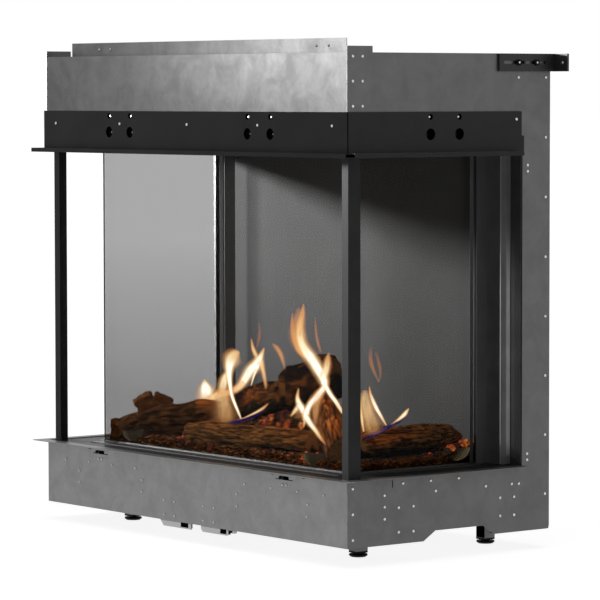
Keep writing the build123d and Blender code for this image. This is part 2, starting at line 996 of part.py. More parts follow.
# Wall brackets: flat bar bent square. Two slots let each slide on a pair of screws, and
# the hole in its rear leg takes a wall plug.
bar = 5
bar_height = 37
bar_length = 146
bar_reach = 44
bar_hole = 3.5
bar_hole_gap = 16.1
slot_length = 57
slot_width = 7
slot_gaps = (105.2, 45.3)
screw_gaps = (93.4, 43.7)
screw_shank = 2.5
screw_head = 6.4
screw_head_height = 3
bar_side = half + play
bar_rear = rear + wall_gap
bar_level = casing_top - bar_height / 2
bar_end = half + bar_reach

with BuildPart() as wall_bracket:
    bar_line = ((bar_side, rear - bar_length), (bar_side, bar_rear), (bar_end, bar_rear))
    bar_foot = Plane.XY.offset(casing_top - bar_height)
    extrude(folded(bar_foot, bar_line, bar, Side.RIGHT), amount=bar_height)
    with BuildSketch(Plane.YZ.offset(bar_side)):
        for gap in slot_gaps:
            with Locations((rear - gap, bar_level)):
                SlotOverall(slot_length, slot_width)
    extrude(amount=bar, mode=Mode.SUBTRACT)
    with BuildSketch(facing(bar_rear)):
        with Locations((bar_end - bar_hole_gap, bar_level)):
            Circle(bar_hole)
    extrude(amount=bar, mode=Mode.SUBTRACT)
keep_pair(wall_bracket.part, "wall_bracket")

with BuildPart() as right_screws:
    head_face = bar_side + bar + play
    with BuildSketch(Plane.YZ.offset(half)):
        for gap in screw_gaps:
            with Locations((rear - gap, bar_level)):
                Circle(screw_shank)
    extrude(amount=head_face - half)
    with BuildSketch(Plane.YZ.offset(head_face)):
        for gap in screw_gaps:
            with Locations((rear - gap, bar_level)):
                Circle(screw_head)
    extrude(amount=screw_head_height)
with BuildPart() as bracket_screws:
    add(right_screws.part)
    mirror(right_screws.part, about=Plane.YZ)
keep(bracket_screws.part, "bracket_screws")


# Logs: moulded from ceramic fibre. Each is a bent run of flat facets, cut to sit on the
# ember bed and over the logs laid before it.
log_sides = 8
log_stations_shares = (0, 0.2, 0.45, 0.72, 1)
log_swell_shares = (0.8, 1.04, 0.96, 1.06, 0.84)
log_bark_share = 0.11


def log_ring(centre, along, radius, turn):
    across = Vector(along.Y, -along.X, 0).normalized()
    plane = Plane(origin=centre, x_dir=across, z_dir=along)
    corners = []
    for k in range(log_sides):
        angle = radians(360 * k / log_sides)
        reach = radius * (1 + log_bark_share * sin(3 * angle + turn))
        corners.append((reach * cos(angle), reach * sin(angle)))
    with BuildSketch(plane, mode=Mode.PRIVATE) as ring:
        with BuildLine():
            Polyline(*corners, close=True)
        make_face()
    return ring.sketch


def log_solid(start, end, radius, bow, turn):
    first, last = Vector(*start), Vector(*end)
    along = (last - first).normalized()
    aside = Vector(along.Y, -along.X, 0).normalized()
    rings = []
    for share, swell in zip(log_stations_shares, log_swell_shares):
        centre = first + (last - first) * share + aside * (bow * sin(radians(180 * share)))
        rings.append(log_ring(centre, along, radius * swell, turn + share))
    with BuildPart() as log:
        loft(rings, ruled=True)
    return log.part


# Where each log starts and ends (across from the middle, back from the front of the bed,
# up from its foot), its radius and its bow, all in shares of the bed and of the pile.
log_thickness = 50
log_shares = {
    "front_log": ((-0.4848, 0.1449, 0.2325), (0.5504, 0.1449, 0.2825), 0.54, 0.12),
    "right_log": ((0.9133, 0.1449, 0.3175), (0.904, 0.9793, 0.3275), 0.64, -0.12),
    "left_log": ((-0.9555, -0.0207, 0.1925), (-0.9087, 0.4156, 0.4075), 0.5, 0.12),
    "long_log": ((-0.815, 0.1131, 0.2875), (-0.37, 0.3487, 0.4275), 0.8, -0.12),
    "charred_log": ((-0.5504, 0.6226, 0.4675), (0.0796, 0.4124, 0.6975), 0.72, 0.16),
    "cross_log": ((0.281, 0.5016, 0.6575), (0.8197, 0.0939, 0.2475), 0.72, -0.16),
    "thick_log": ((-0.0141, 0.508, 0.7025), (0.2225, 0.7341, 0.9025), 1.04, 0.1),
}


laid = [ember_bed.part]
for turn, (name, (start, end, thickness, bow)) in enumerate(log_shares.items()):
    ends = (pile_point(*start), pile_point(*end))
    solid = log_solid(*ends, log_thickness * thickness, log_thickness * bow, turn)
    for below in laid:
        solid = solid - below
    laid.append(solid)
    print(name, round(solid.volume), len(solid.solids()), len(solid.faces()))
    keep(solid, name)
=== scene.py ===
import math
import random

import bpy
from mathutils import Matrix, Vector, noise


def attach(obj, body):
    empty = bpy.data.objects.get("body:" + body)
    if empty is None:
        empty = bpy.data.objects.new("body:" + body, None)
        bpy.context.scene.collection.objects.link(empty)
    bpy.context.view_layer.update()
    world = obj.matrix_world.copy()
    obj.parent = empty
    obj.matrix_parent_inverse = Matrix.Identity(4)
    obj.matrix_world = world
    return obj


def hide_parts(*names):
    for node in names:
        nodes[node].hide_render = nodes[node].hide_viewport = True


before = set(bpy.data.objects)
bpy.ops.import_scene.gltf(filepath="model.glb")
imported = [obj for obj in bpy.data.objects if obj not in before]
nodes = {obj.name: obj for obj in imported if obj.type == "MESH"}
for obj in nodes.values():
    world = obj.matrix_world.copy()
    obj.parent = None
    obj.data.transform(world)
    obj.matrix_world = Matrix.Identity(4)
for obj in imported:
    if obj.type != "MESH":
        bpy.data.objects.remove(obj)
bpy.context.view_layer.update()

noise.seed_set(7)  # noise vectors differ from run to run without a seed
print("frame loaded:", len(nodes), "CAD nodes")


# Small helpers for selecting, naming and placing.
def clearSelection():
    if bpy.context.object is not None and bpy.context.object.mode != "OBJECT":
        bpy.ops.object.mode_set(mode="OBJECT")
    bpy.ops.object.select_all(action="DESELECT")


def pick(piece):
    clearSelection()
    piece.select_set(True)
    bpy.context.view_layer.objects.active = piece


def takeNew(name):  # the primitive that was just added gets its name
    piece = bpy.context.object
    piece.name = name
    piece.data.name = name
    return piece


def applyPlace(piece):
    pick(piece)
    bpy.ops.object.transform_apply(location=True, rotation=True, scale=True)


def editAll(piece):  # edit mode starts with the whole mesh selected
    pick(piece)
    bpy.ops.object.mode_set(mode="EDIT")
    bpy.ops.mesh.select_all(action="SELECT")


def selectFaces(piece, wanted):  # edit mode starts with these faces selected
    pick(piece)
    bpy.ops.object.mode_set(mode="EDIT")
    bpy.ops.mesh.select_mode(type="FACE")
    bpy.ops.mesh.select_all(action="DESELECT")
    bpy.ops.object.mode_set(mode="OBJECT")
    for face in piece.data.polygons:
        face.select = wanted(face)
    bpy.ops.object.mode_set(mode="EDIT")


def extrudeUp(rise):
    bpy.ops.mesh.extrude_region_move(TRANSFORM_OT_translate={"value": (0, 0, rise)})


def pointOutwards(piece):
    editAll(piece)
    bpy.ops.mesh.normals_make_consistent(inside=False)
    bpy.ops.object.mode_set(mode="OBJECT")


def copyOf(template, name, matrix):
    piece = bpy.data.objects.new(name, template.data.copy())
    bpy.context.scene.collection.objects.link(piece)
    piece.data.transform(matrix)
    return piece


def joined(pieces, name):
    clearSelection()
    for piece in pieces:
        piece.select_set(True)
    bpy.context.view_layer.objects.active = pieces[0]
    if len(pieces) > 1:
        bpy.ops.object.join()
    return takeNew(name)


def smooth(piece, degrees=35):
    pick(piece)
    bpy.ops.object.shade_smooth_by_angle(angle=math.radians(degrees))


def finishPiece(piece, body, material=None, replaced=()):
    if material is not None:
        piece.data.materials.clear()
        piece.data.materials.append(material)
    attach(piece, body)
    if replaced:
        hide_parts(*replaced)
    return piece


def pointValues(piece, names):  # one number per point for each name, for the materials
    for name in names:
        piece.data.attributes.new(name, "FLOAT", "POINT")
    return [piece.data.attributes[name].data for name in names]


def depth(behind):  # millimetres behind the casing's front, in the frame's y
    return behind / 1000 - 0.2675


def spotAt(across, behind, up):  # millimetres
    return Vector((across / 1000, depth(behind), up / 1000))


def limited(value):
    return min(1, max(0, value))


# Small helpers for materials. All patterns read Object coordinates, in metres.
def newMaterial(name, shaderType="ShaderNodeBsdfPrincipled"):
    material = bpy.data.materials.new(name)
    material.use_nodes = True
    tree = material.node_tree
    tree.nodes.clear()
    output = tree.nodes.new("ShaderNodeOutputMaterial")
    shader = tree.nodes.new(shaderType)
    tree.links.new(shader.outputs[0], output.inputs["Surface"])
    return material, tree, shader


def place(tree, stretch=(1, 1, 1)):
    coordinates = tree.nodes.new("ShaderNodeTexCoord")
    mapping = tree.nodes.new("ShaderNodeMapping")
    mapping.inputs["Scale"].default_value = stretch
    tree.links.new(coordinates.outputs["Object"], mapping.inputs["Vector"])
    return mapping.outputs["Vector"]


def axisValue(tree, kind, axis):  # one axis of the Object coordinates or of the Normal
    coordinates = tree.nodes.new("ShaderNodeTexCoord")
    split = tree.nodes.new("ShaderNodeSeparateXYZ")
    tree.links.new(coordinates.outputs[kind], split.inputs["Vector"])
    return split.outputs[axis]


def attributeValue(tree, name):
    node = tree.nodes.new("ShaderNodeAttribute")
    node.attribute_name = name
    return node.outputs["Fac"]


def cloud(tree, vector, scale, detail=4, roughness=0.55, distortion=0):
    texture = tree.nodes.new("ShaderNodeTexNoise")
    texture.inputs["Scale"].default_value = scale
    texture.inputs["Detail"].default_value = detail
    texture.inputs["Roughness"].default_value = roughness
    texture.inputs["Distortion"].default_value = distortion
    tree.links.new(vector, texture.inputs["Vector"])
    return texture.outputs["Fac"]


def cells(tree, vector, scale, feature="F1"):
    texture = tree.nodes.new("ShaderNodeTexVoronoi")
    texture.feature = feature
    texture.inputs["Scale"].default_value = scale
    tree.links.new(vector, texture.inputs["Vector"])
    return texture


def ramp(tree, value, stops):
    colours = tree.nodes.new("ShaderNodeValToRGB")
    elements = colours.color_ramp.elements
    for position, _ in stops[1:-1]:
        elements.new(position)
    elements[0].position, elements[-1].position = stops[0][0], stops[-1][0]
    for element, (_, colour) in zip(elements, stops):
        if not hasattr(colour, "__len__"):
            colour = (colour, colour, colour)
        element.color = (*colour, 1)
    tree.links.new(value, colours.inputs["Fac"])
    return colours.outputs["Color"]


def math2(tree, operation, a, b):
    node = tree.nodes.new("ShaderNodeMath")
    node.operation = operation
    for socket, value in zip(node.inputs, (a, b)):
        if isinstance(value, (int, float)):
            socket.default_value = value
        else:
            tree.links.new(value, socket)
    return node.outputs["Value"]


def weighted(tree, *parts):  # the sum of each value times its weight
    total = None
    for value, weight in parts:
        share = value if weight == 1 else math2(tree, "MULTIPLY", value, weight)
        total = share if total is None else math2(tree, "ADD", total, share)
    return total


def blendColours(tree, share, first, second, mode="MIX"):
    node = tree.nodes.new("ShaderNodeMix")
    node.data_type = "RGBA"
    node.blend_type = mode
    for socket, value in zip((node.inputs[0], node.inputs[6], node.inputs[7]), (share, first, second)):
        if isinstance(value, (int, float)):
            socket.default_value = value
        else:
            tree.links.new(value, socket)
    return node.outputs[2]


def bump(tree, shader, height, strength, distance):
    node = tree.nodes.new("ShaderNodeBump")
    node.inputs["Strength"].default_value = strength
    node.inputs["Distance"].default_value = distance
    tree.links.new(height, node.inputs["Height"])
    tree.links.new(node.outputs["Normal"], shader.inputs["Normal"])


def setColour(tree, shader, colour):
    tree.links.new(colour, shader.inputs["Base Color"])


def setGloss(shader, rough=None, shine=None, metal=None):
    for socket, value in (("Roughness", rough), ("Specular IOR Level", shine), ("Metallic", metal)):
        if value is not None:
            shader.inputs[socket].default_value = value


def seenDirectly(tree):  # 1 for what the camera, a reflection or a clear pane shows
    path = tree.nodes.new("ShaderNodeLightPath")
    seen = math2(tree, "MAXIMUM", path.outputs["Is Camera Ray"], path.outputs["Is Glossy Ray"])
    return math2(tree, "MAXIMUM", seen, path.outputs["Is Transmission Ray"])


# Zinc-coated sheet: cloudy patches, faint spangle and a fine grain.
def zincSheet(name, dark, pale, rough=0.46, patch=22):
    material, tree, shader = newMaterial(name)
    where = place(tree)
    patches = cloud(tree, where, patch, 5, 0.62, 0.6)
    spangle = math2(tree, "MULTIPLY", cells(tree, where, 95).outputs["Color"], 0.35)
    grain = cloud(tree, where, 900, 2, 0.5)
    tone = weighted(tree, (patches, 0.8), (grain, 0.12), (spangle, 0.18))
    setColour(tree, shader, ramp(tree, tone, ((0.36, dark), (0.68, pale))))
    gloss = ramp(tree, patches, ((0.35, rough + 0.02), (0.65, rough - 0.02)))
    tree.links.new(gloss, shader.inputs["Roughness"])
    bump(tree, shader, cloud(tree, where, 420, 3), 0.08, 0.0004)
    setGloss(shader, metal=1)
    return material


def orangePeel(tree, shader):
    bump(tree, shader, cloud(tree, place(tree), 1100, 2), 0.12, 0.0003)


# Powder coat: nearly black, with a fine orange peel.
def powderCoat(name, tone, rough, shine=0.15):
    material, tree, shader = newMaterial(name)
    dust = cloud(tree, place(tree), 14, 4)
    low, high = tone
    setColour(tree, shader, ramp(tree, dust, ((0.35, low), (0.7, high))))
    gloss = ramp(tree, dust, ((0.3, rough - 0.04), (0.7, rough + 0.06)))
    tree.links.new(gloss, shader.inputs["Roughness"])
    orangePeel(tree, shader)
    setGloss(shader, shine=shine)
    return material


# A coat painted with light and shade: one tone on the faces that look forwards and another on the
# rest. With a left tone, everything left of the middle has that one, as painted shade.
def paintedLightShadeCoat(name, frontTone, sideTone, leftTone=None, spread=0.15, rough=0.5, shine=0.05):
    material, tree, shader = newMaterial(name)
    dust = cloud(tree, place(tree), 14, 4)

    def dusty(tone):
        return ramp(tree, dust, ((0.35, tone * (1 - spread)), (0.7, tone * (1 + spread))))

    backwards = axisValue(tree, "Normal", "Y")
    forwards = ramp(tree, math2(tree, "MULTIPLY", backwards, -1), ((0.4, 0), (0.6, 1)))
    colour = blendColours(tree, forwards, dusty(sideTone), dusty(frontTone))
    if leftTone is not None:
        isRight = ramp(tree, axisValue(tree, "Object", "X"), ((0.0, 0), (0.1, 1)))
        colour = blendColours(tree, isRight, dusty(leftTone), colour)
    setColour(tree, shader, colour)
    setGloss(shader, rough, shine)
    orangePeel(tree, shader)
    return material


# Painted steel of the fire chamber, with faint upright brushing and a little soot.
def chamberSteel(name, dark, pale, rough, shine):
    material, tree, shader = newMaterial(name)
    brushed = cloud(tree, place(tree, (420, 420, 9)), 1, 3)
    stains = cloud(tree, place(tree), 7, 4)
    tone = weighted(tree, (brushed, 0.35), (stains, 0.65))
    setColour(tree, shader, ramp(tree, tone, ((0.35, dark), (0.65, pale))))
    gloss = ramp(tree, brushed, ((0.3, rough - 0.05), (0.7, rough + 0.05)))
    tree.links.new(gloss, shader.inputs["Roughness"])
    bump(tree, shader, brushed, 0.06, 0.0003)
    setGloss(shader, shine=shine)
    return material


# Bare metal of fasteners and fittings.
def bareMetal(name, dark, pale, rough):
    material, tree, shader = newMaterial(name)
    worn = cloud(tree, place(tree), 260, 4)
    setColour(tree, shader, ramp(tree, worn, ((0.35, dark), (0.65, pale))))
    tree.links.new(ramp(tree, worn, ((0.3, rough), (0.7, rough + 0.12))), shader.inputs["Roughness"])
    bump(tree, shader, cloud(tree, place(tree), 1500, 2), 0.1, 0.0002)
    setGloss(shader, metal=1)
    return material


# Low-reflection glass: it lets light straight through, its tint darker towards the bottom.
def fireGlass(name, clear, lowerTint, sheen):
    material, tree, mix = newMaterial(name, "ShaderNodeMixShader")
    through = tree.nodes.new("ShaderNodeBsdfTransparent")
    gloss = tree.nodes.new("ShaderNodeBsdfGlossy")
    haze = cloud(tree, place(tree), 6, 3)
    height = weighted(tree, (axisValue(tree, "Object", "Z"), 1), (haze, 0.05))
    tree.links.new(ramp(tree, height, ((0.30, lowerTint), (0.66, clear))), through.inputs["Color"])
    gloss.inputs["Roughness"].default_value = 0.02
    gloss.inputs["Color"].default_value = (sheen, sheen, sheen, 1)
    facing = tree.nodes.new("ShaderNodeLayerWeight")
    facing.inputs["Blend"].default_value = 0.5
    share = math2(tree, "POWER", facing.outputs["Facing"], 4)
    share = math2(tree, "ADD", math2(tree, "MULTIPLY", share, 0.6), 0.04)
    for socket, value in zip(mix.inputs, (share, through.outputs["BSDF"], gloss.outputs["BSDF"])):
        tree.links.new(value, socket)
    return material


zinc = zincSheet("zincSheet", 0.108, 0.13)
# a darker copy of the zinc sheet for the upper front and top strip: painted shade
zincTopPaintedShade = zincSheet("zincSheetTopPaintedShade", 0.072, 0.115, 0.33, 17)
# a brighter copy of the zinc sheet for the base front and floor brackets: painted light
zincFrontPaintedLight = zincSheet("zincSheetFrontPaintedLight", 0.205, 0.247)
zincSide = zincSheet("zincSheetSide", 0.108, 0.128, patch=20)
blackFrame = powderCoat("blackFrame", (0.0087, 0.013), 0.5)
# a lighter copy of the black frame coat for the frame's sides: painted light
blackFrameSidePaintedLight = powderCoat("blackFrameSidePaintedLight", (0.057, 0.076), 0.5)
blackSill = powderCoat("blackSill", (0.008, 0.016), 0.34, 0.5)
sillPaint = powderCoat("sillPaint", (0.010, 0.02), 0.32, 0.02)
# the posts' forward faces are painted darker than their sides: painted shade
postPaintedShade = paintedLightShadeCoat("postCoatPaintedShade", 0.002, 0.045, spread=0.2, rough=0.42, shine=0.14)
# returns, rear posts and gap strips: pale on the right and near black left of the middle, painted light and
# shade
returnPaintedLightShade = paintedLightShadeCoat("returnCoatPaintedLightShade", 0.2, 0.5, 0.009)
rearPostPaintedLightShade = paintedLightShadeCoat("rearPostCoatPaintedLightShade", 0.1, 0.14, 0.009)
gapPaintedLightShade = paintedLightShadeCoat("gapCoatPaintedLightShade", 0.42, 0.42, 0.009)
wallPaint = chamberSteel("chamberWall", 0.20, 0.235, 0.55, 0.03)
hoodPaint = chamberSteel("chamberHood", 0.10, 0.14, 0.5, 0.3)
stileMetal = chamberSteel("stileSteel", 0.16, 0.22, 0.4, 0.4)
# pale steel for edges and bends that show as bright lines: painted highlight
paintedEdgeHighlight = chamberSteel("glassEdgePaintedHighlight", 0.62, 0.74, 0.4, 0.5)
burnerSteel = bareMetal("burnerSteel", 0.16, 0.30, 0.38)
brass = bareMetal("brassFitting", (0.42, 0.27, 0.09), (0.60, 0.42, 0.16), 0.25)
fastener = bareMetal("zincFastener", 0.28, 0.45, 0.36)
# a brighter copy of the fastener metal for the side, frame and rear rivets and the small pins: painted
# highlight
fastenerPaintedHighlight = bareMetal("fastenerPaintedHighlight", 0.45, 0.66, 0.3)
valveMetal = bareMetal("valveCasting", 0.38, 0.52, 0.42)
bracketSteel = powderCoat("bracketSteel", (0.02, 0.032), 0.4, 0.35)
footRubber = powderCoat("footBlack", (0.003, 0.006), 0.45, 0.08)
plastic = powderCoat("controlPlastic", (0.02, 0.035), 0.5, 0.4)
dullPin = powderCoat("dullPin", (0.02, 0.035), 0.6, 0.04)
# near black for holes, recesses and the rear legs' fronts: painted shade
paintedRecessShade = powderCoat("paintedRecessShade", (0.001, 0.002), 0.8, 0.0)
glass = fireGlass("fireGlass", 0.82, 0.72, 0.06)

dressed = (
    (zinc, "base_floor flue_spigot_outer legs top_plate"),
    (zincTopPaintedShade, "front_top_panel top_strip"),
    (zincFrontPaintedLight, "base_front_panel floor_brackets"),
    (zincSide, "rear_panel side_panel_left side_panel_right"),
    (blackFrame, "frame_front"),
    (blackFrameSidePaintedLight, "frame_left frame_right"),
    (blackSill, "retainer_front side_retainers side_soffits soffit_front"),
    (sillPaint, "sill_front sill_left sill_right"),
    (postPaintedShade, "front_post_left front_post_right"),
    (returnPaintedLightShade, "rear_returns"),
    (rearPostPaintedLightShade, "rear_post_left rear_post_right"),
    (wallPaint, "back_wall"),
    (hoodPaint, "burner_tray chamber_hood head_channels"),
    (stileMetal, "glass_stiles"),
    (burnerSteel, "burner flue_spigot_inner pilot_burner"),
    (brass, "burner_pipe inlet_pipe"),
    (valveMetal, "gas_valve"),
    (plastic, "control_box flow_knob mode_knob"),
    (bracketSteel, "sill_clips wall_bracket_left wall_bracket_right"),
    (footRubber, "bracket_screws foot_front_left foot_front_right foot_rear_left foot_rear_right leg_caps"),
    (glass, "glass_front glass_left glass_right"),
)
for material, names in dressed:
    for name in names.split():
        nodes[name].data.materials.clear()
        nodes[name].data.materials.append(material)
print("CAD nodes dressed")


# Rivets: one low dome, copied to every place that the sheets show.
rivet = {"radius": 0.0032, "height": 0.0019, "sides": 12, "dome": ((0.3, 0.86), (0.24, 0.72), (0.13, 0.5))}


def makeRivet():
    clearSelection()
    bpy.ops.mesh.primitive_cylinder_add(
        vertices=rivet["sides"], radius=rivet["radius"], depth=rivet["height"] / 3,
        location=(0, 0, rivet["height"] / 6),
    )
    piece = takeNew("rivetTemplate")
    applyPlace(piece)
    selectFaces(piece, lambda face: face.normal.z > 0.9)
    for rise, width in rivet["dome"]:
        extrudeUp(rivet["height"] * rise)
        bpy.ops.transform.resize(value=(width, width, 1))
    bpy.ops.object.mode_set(mode="OBJECT")
    smooth(piece, 50)
    return piece


rivetTemplate = makeRivet()
towardsFront = Matrix.Rotation(math.radians(90), 4, "X")
towardsRight = Matrix.Rotation(math.radians(90), 4, "Y")
towardsLeft = Matrix.Rotation(math.radians(-90), 4, "Y")
towardsRear = Matrix.Rotation(math.radians(-90), 4, "X")

# Places in millimetres: across and up on the front, behind the front and up on the sides.
frontBaseRivets = (
    (-468.2, 140.6), (-377.4, 141.4), (-339.5, 151.2), (-327.9, 152.1), (-287.5, 142), (-200, 142.5),
    (-415.3, 119), (-415.5, 93.4), (-175.7, 118.7), (-175.9, 93.5), (-92.7, 81.8), (-55.6, 81.6),
    (-92.9, 51), (-55, 51.3), (49, 81.5), (87.1, 81.9), (48.9, 51.1), (87, 51.2), (195.4, 142.1),
    (167.9, 118.8), (167.8, 93.4), (285.4, 142.1), (324.3, 152.2), (337.1, 152.5), (374.6, 142.2),
    (461.7, 142), (408.4, 118.5), (406.4, 93.6),
)
sideRivets = (
    (14.6, 1032.8), (14.6, 982.9), (14.6, 932.4), (39.6, 1032.8), (39.6, 982.9), (39.6, 932.4),
    (458.5, 991.6), (535, 991.8), (535, 866.1), (535, 740.8), (535, 615.1), (535, 489.9), (535, 364.7),
    (535, 239.5), (535, 114.4), (484.5, 808.5), (484.5, 795.5), (484.5, 202.6), (484.5, 189.5),
    (13.8, 161.5), (13.8, 109.2), (13.8, 56.8), (97, 142.1), (97, 118.6), (97, 93.7), (134.2, 114.6),
    (173.3, 114.8), (134.2, 64.3), (173.3, 63.3), (145.8, 164), (219.8, 164.4), (295.6, 164.3),
    (233.3, 141.9), (369.7, 142), (441.6, 141.7), (461.2, 141), (409.4, 114.8), (448.4, 114.3),
    (409.5, 76.8), (448.5, 76.1),
)
stripRivets = ((-383, 1056), (-341, 1056), (392, 1056), (432, 1056))
frameFrontRivets = ((-495, 893), (-247.5, 893), (0, 893), (247.5, 893), (495, 893))
frameSideRivets = ((449.4, 904.5),)
rearRivets = [(x, z) for x in (-520, 520) for z in (114.4, 239.5, 364.7, 489.9, 615.1, 740.8, 866.1, 991.8)]
rearRivets += [(x, z) for x in (-390, -260, -130, 0, 130, 260, 390) for z in (70, 1030)]
frontFace, rearFace, sideFace, frameProud = -0.2675, 0.2795, 0.5385, 0.004


def onFront(out):  # out: metres in front of the casing's front
    return lambda across, up: (across / 1000, frontFace - out, up)


def onSide(side, out=0):
    return lambda behind, up: (side * (sideFace + out), depth(behind), up)


def rivetRow(name, places, turn, where, metal):
    pieces = []
    for number, (across, up) in enumerate(places):
        matrix = Matrix.Translation(where(across, up / 1000)) @ turn
        pieces.append(copyOf(rivetTemplate, f"{name}_{number}", matrix))
    return finishPiece(joined(pieces, name), "base", metal)


for name, places, turn, where, metal in (
    ("rivets_base_front", frontBaseRivets, towardsFront, onFront(0), fastener),
    ("rivets_side_right", sideRivets, towardsRight, onSide(1), fastenerPaintedHighlight),
    ("rivets_side_left", sideRivets, towardsLeft, onSide(-1), fastenerPaintedHighlight),
    ("rivets_strip", stripRivets, towardsFront, onFront(-0.0375), fastener),
    ("rivets_frame_front", frameFrontRivets, towardsFront, onFront(frameProud), fastenerPaintedHighlight),
    ("rivets_frame_right", frameSideRivets, towardsRight, onSide(1, frameProud), fastenerPaintedHighlight),
    ("rivets_frame_left", frameSideRivets, towardsLeft, onSide(-1, frameProud), fastenerPaintedHighlight),
    ("rivets_rear", rearRivets, towardsRear, lambda x, z: (x / 1000, rearFace, z), fastenerPaintedHighlight),
):
    rivetRow(name, places, turn, where, metal)
bpy.data.objects.remove(rivetTemplate)
print("rivets placed")


# The frame's holes: a near-black disc behind each, painted shade for the hole's dark inside, with a bright
# pin (a painted highlight) in the small ones and a dull one at the edge of the large ones. Places in
# millimetres, pin offsets too.
holes = {
    "frontAcross": (-288, -210, 212.5, 290), "sideBehind": (216, 293.5),
    "gap": 0.3, "recess": 0.6, "reach": 2.6,
    "small": {"up": 910.4, "radius": 8, "pin": 2.1, "offset": 2.7},
    "large": {"up": 875, "radius": 14, "pin": 2.0, "offset": 8.5},
}
bracketPins = {"out": 0.5471, "y": (0.1861, 0.2358), "up": 1.0225, "radius": 2.2, "reach": 0.6}


def makeDisc(name, radius, thick, matrix):  # millimetres, its foot on the matrix's plane
    clearSelection()
    bpy.ops.mesh.primitive_cylinder_add(vertices=20, radius=radius / 1000, depth=thick / 1000,
                                        location=(0, 0, thick / 2000))
    piece = takeNew(name)
    applyPlace(piece)
    piece.data.transform(matrix)
    smooth(piece, 40)
    return piece


recesses, pins = [], {"small": [], "large": []}
for side, turn in ((-1, towardsLeft), (0, towardsFront), (1, towardsRight)):
    aside = Vector((0, -1, 0) if side else (1, 0, 0))
    where = onSide(side) if side else onFront(0)
    out = turn @ Vector((0, 0, holes["gap"] / 1000))
    for kind in pins:
        hole = holes[kind]
        for along in holes["sideBehind"] if side else holes["frontAcross"]:
            foot = Matrix.Translation(Vector(where(along, hole["up"] / 1000)) + out) @ turn
            recesses.append(makeDisc("recess", hole["radius"], holes["recess"], foot))
            shifted = Matrix.Translation(aside * (hole["offset"] / 1000)) @ foot
            pins[kind].append(makeDisc("pin", hole["pin"], holes["reach"], shifted))
for side, turn in ((-1, towardsLeft), (1, towardsRight)):
    for y in bracketPins["y"]:
        foot = Matrix.Translation((side * bracketPins["out"], y, bracketPins["up"])) @ turn
        pins["small"].append(makeDisc("pin", bracketPins["radius"], bracketPins["reach"], foot))
finishPiece(joined(recesses, "hole_recess_shades"), "base", paintedRecessShade)
finishPiece(joined(pins["small"], "hole_pins"), "base", fastenerPaintedHighlight)
finishPiece(joined(pins["large"], "hole_dull_pins"), "base", dullPin)
print("frame holes dressed")


# Plain bars. Corners in millimetres: across, behind the front, up.
def makeBar(name, low, high, chamfer=0):  # the chamfer is a share of each side
    clearSelection()
    bpy.ops.mesh.primitive_cube_add(size=1)
    piece = takeNew(name)
    if chamfer:
        editAll(piece)
        bpy.ops.mesh.bevel(offset=chamfer, segments=1, affect="EDGES")
        bpy.ops.object.mode_set(mode="OBJECT")
    first, last = spotAt(*low), spotAt(*high)
    piece.data.transform(Matrix.Translation((first + last) / 2) @ Matrix.Diagonal((*(last - first), 1)))
    return piece


def bothSides(low, high):  # a bar on the right and its mirror image
    return (low, high), ((-high[0], *low[1:]), (-low[0], *high[1:]))


def placeBars(bars):
    for name, (slotName, metal, corners, chamfer) in bars.items():
        made = [makeBar(name, low, high, chamfer) for low, high in corners]
        finishPiece(joined(made, name), "base", metal)


sheetBars = {  # slot, finish, bars, chamfer
    # near-black blocks behind the holes of the floor brackets: painted shade
    "bracket_hole_shades": ("zinc_hardware", paintedRecessShade, (
        ((-37, 3.8, 28.5), (-4, 10.8, 44)), ((104, 3.8, 28.5), (132, 10.8, 44)),
        ((133, 3.8, 33.5), (153, 10.8, 44))), 0),
    # folded edges of the side windows, bright metal on the left and dark coat on the right: painted light
    # and shade
    "window_lip_left": ("galvanised_sheet", fastener, (((-537, 466.5, 181), (-529.5, 469.5, 828)),), 0),
    "window_lip_right": ("galvanised_sheet", rearPostPaintedLightShade, (((529, 466.5, 181), (537, 469.5, 828)),), 0),
    # seals on the side panes, in front of their stiles, pale as a painted highlight
    "stile_edges": ("chamber_steel", paintedEdgeHighlight, bothSides((439.0, 411, 181), (439.4, 420.5, 826)), 0),
    # the return's bend on the right, pale as a painted highlight, and what closes the gaps beside the rear
    # posts, with painted light and shade
    "return_corner_line": ("dark_trim", paintedEdgeHighlight, (((487.0, 453.4, 179), (489.8, 454.2, 828)),), 0),
    "return_gap_strips": ("dark_trim", gapPaintedLightShade, bothSides((489.7, 469, 179), (501.3, 469.8, 828)), 0),
    # near-black plates on the front faces of the rear legs: painted shade
    "leg_front_shades": ("galvanised_sheet", paintedRecessShade, bothSides((390.2, 472.9, 13), (415.8, 473.6, 59)), 0),
}
placeBars(sheetBars)
print("bars placed:", len(sheetBars))


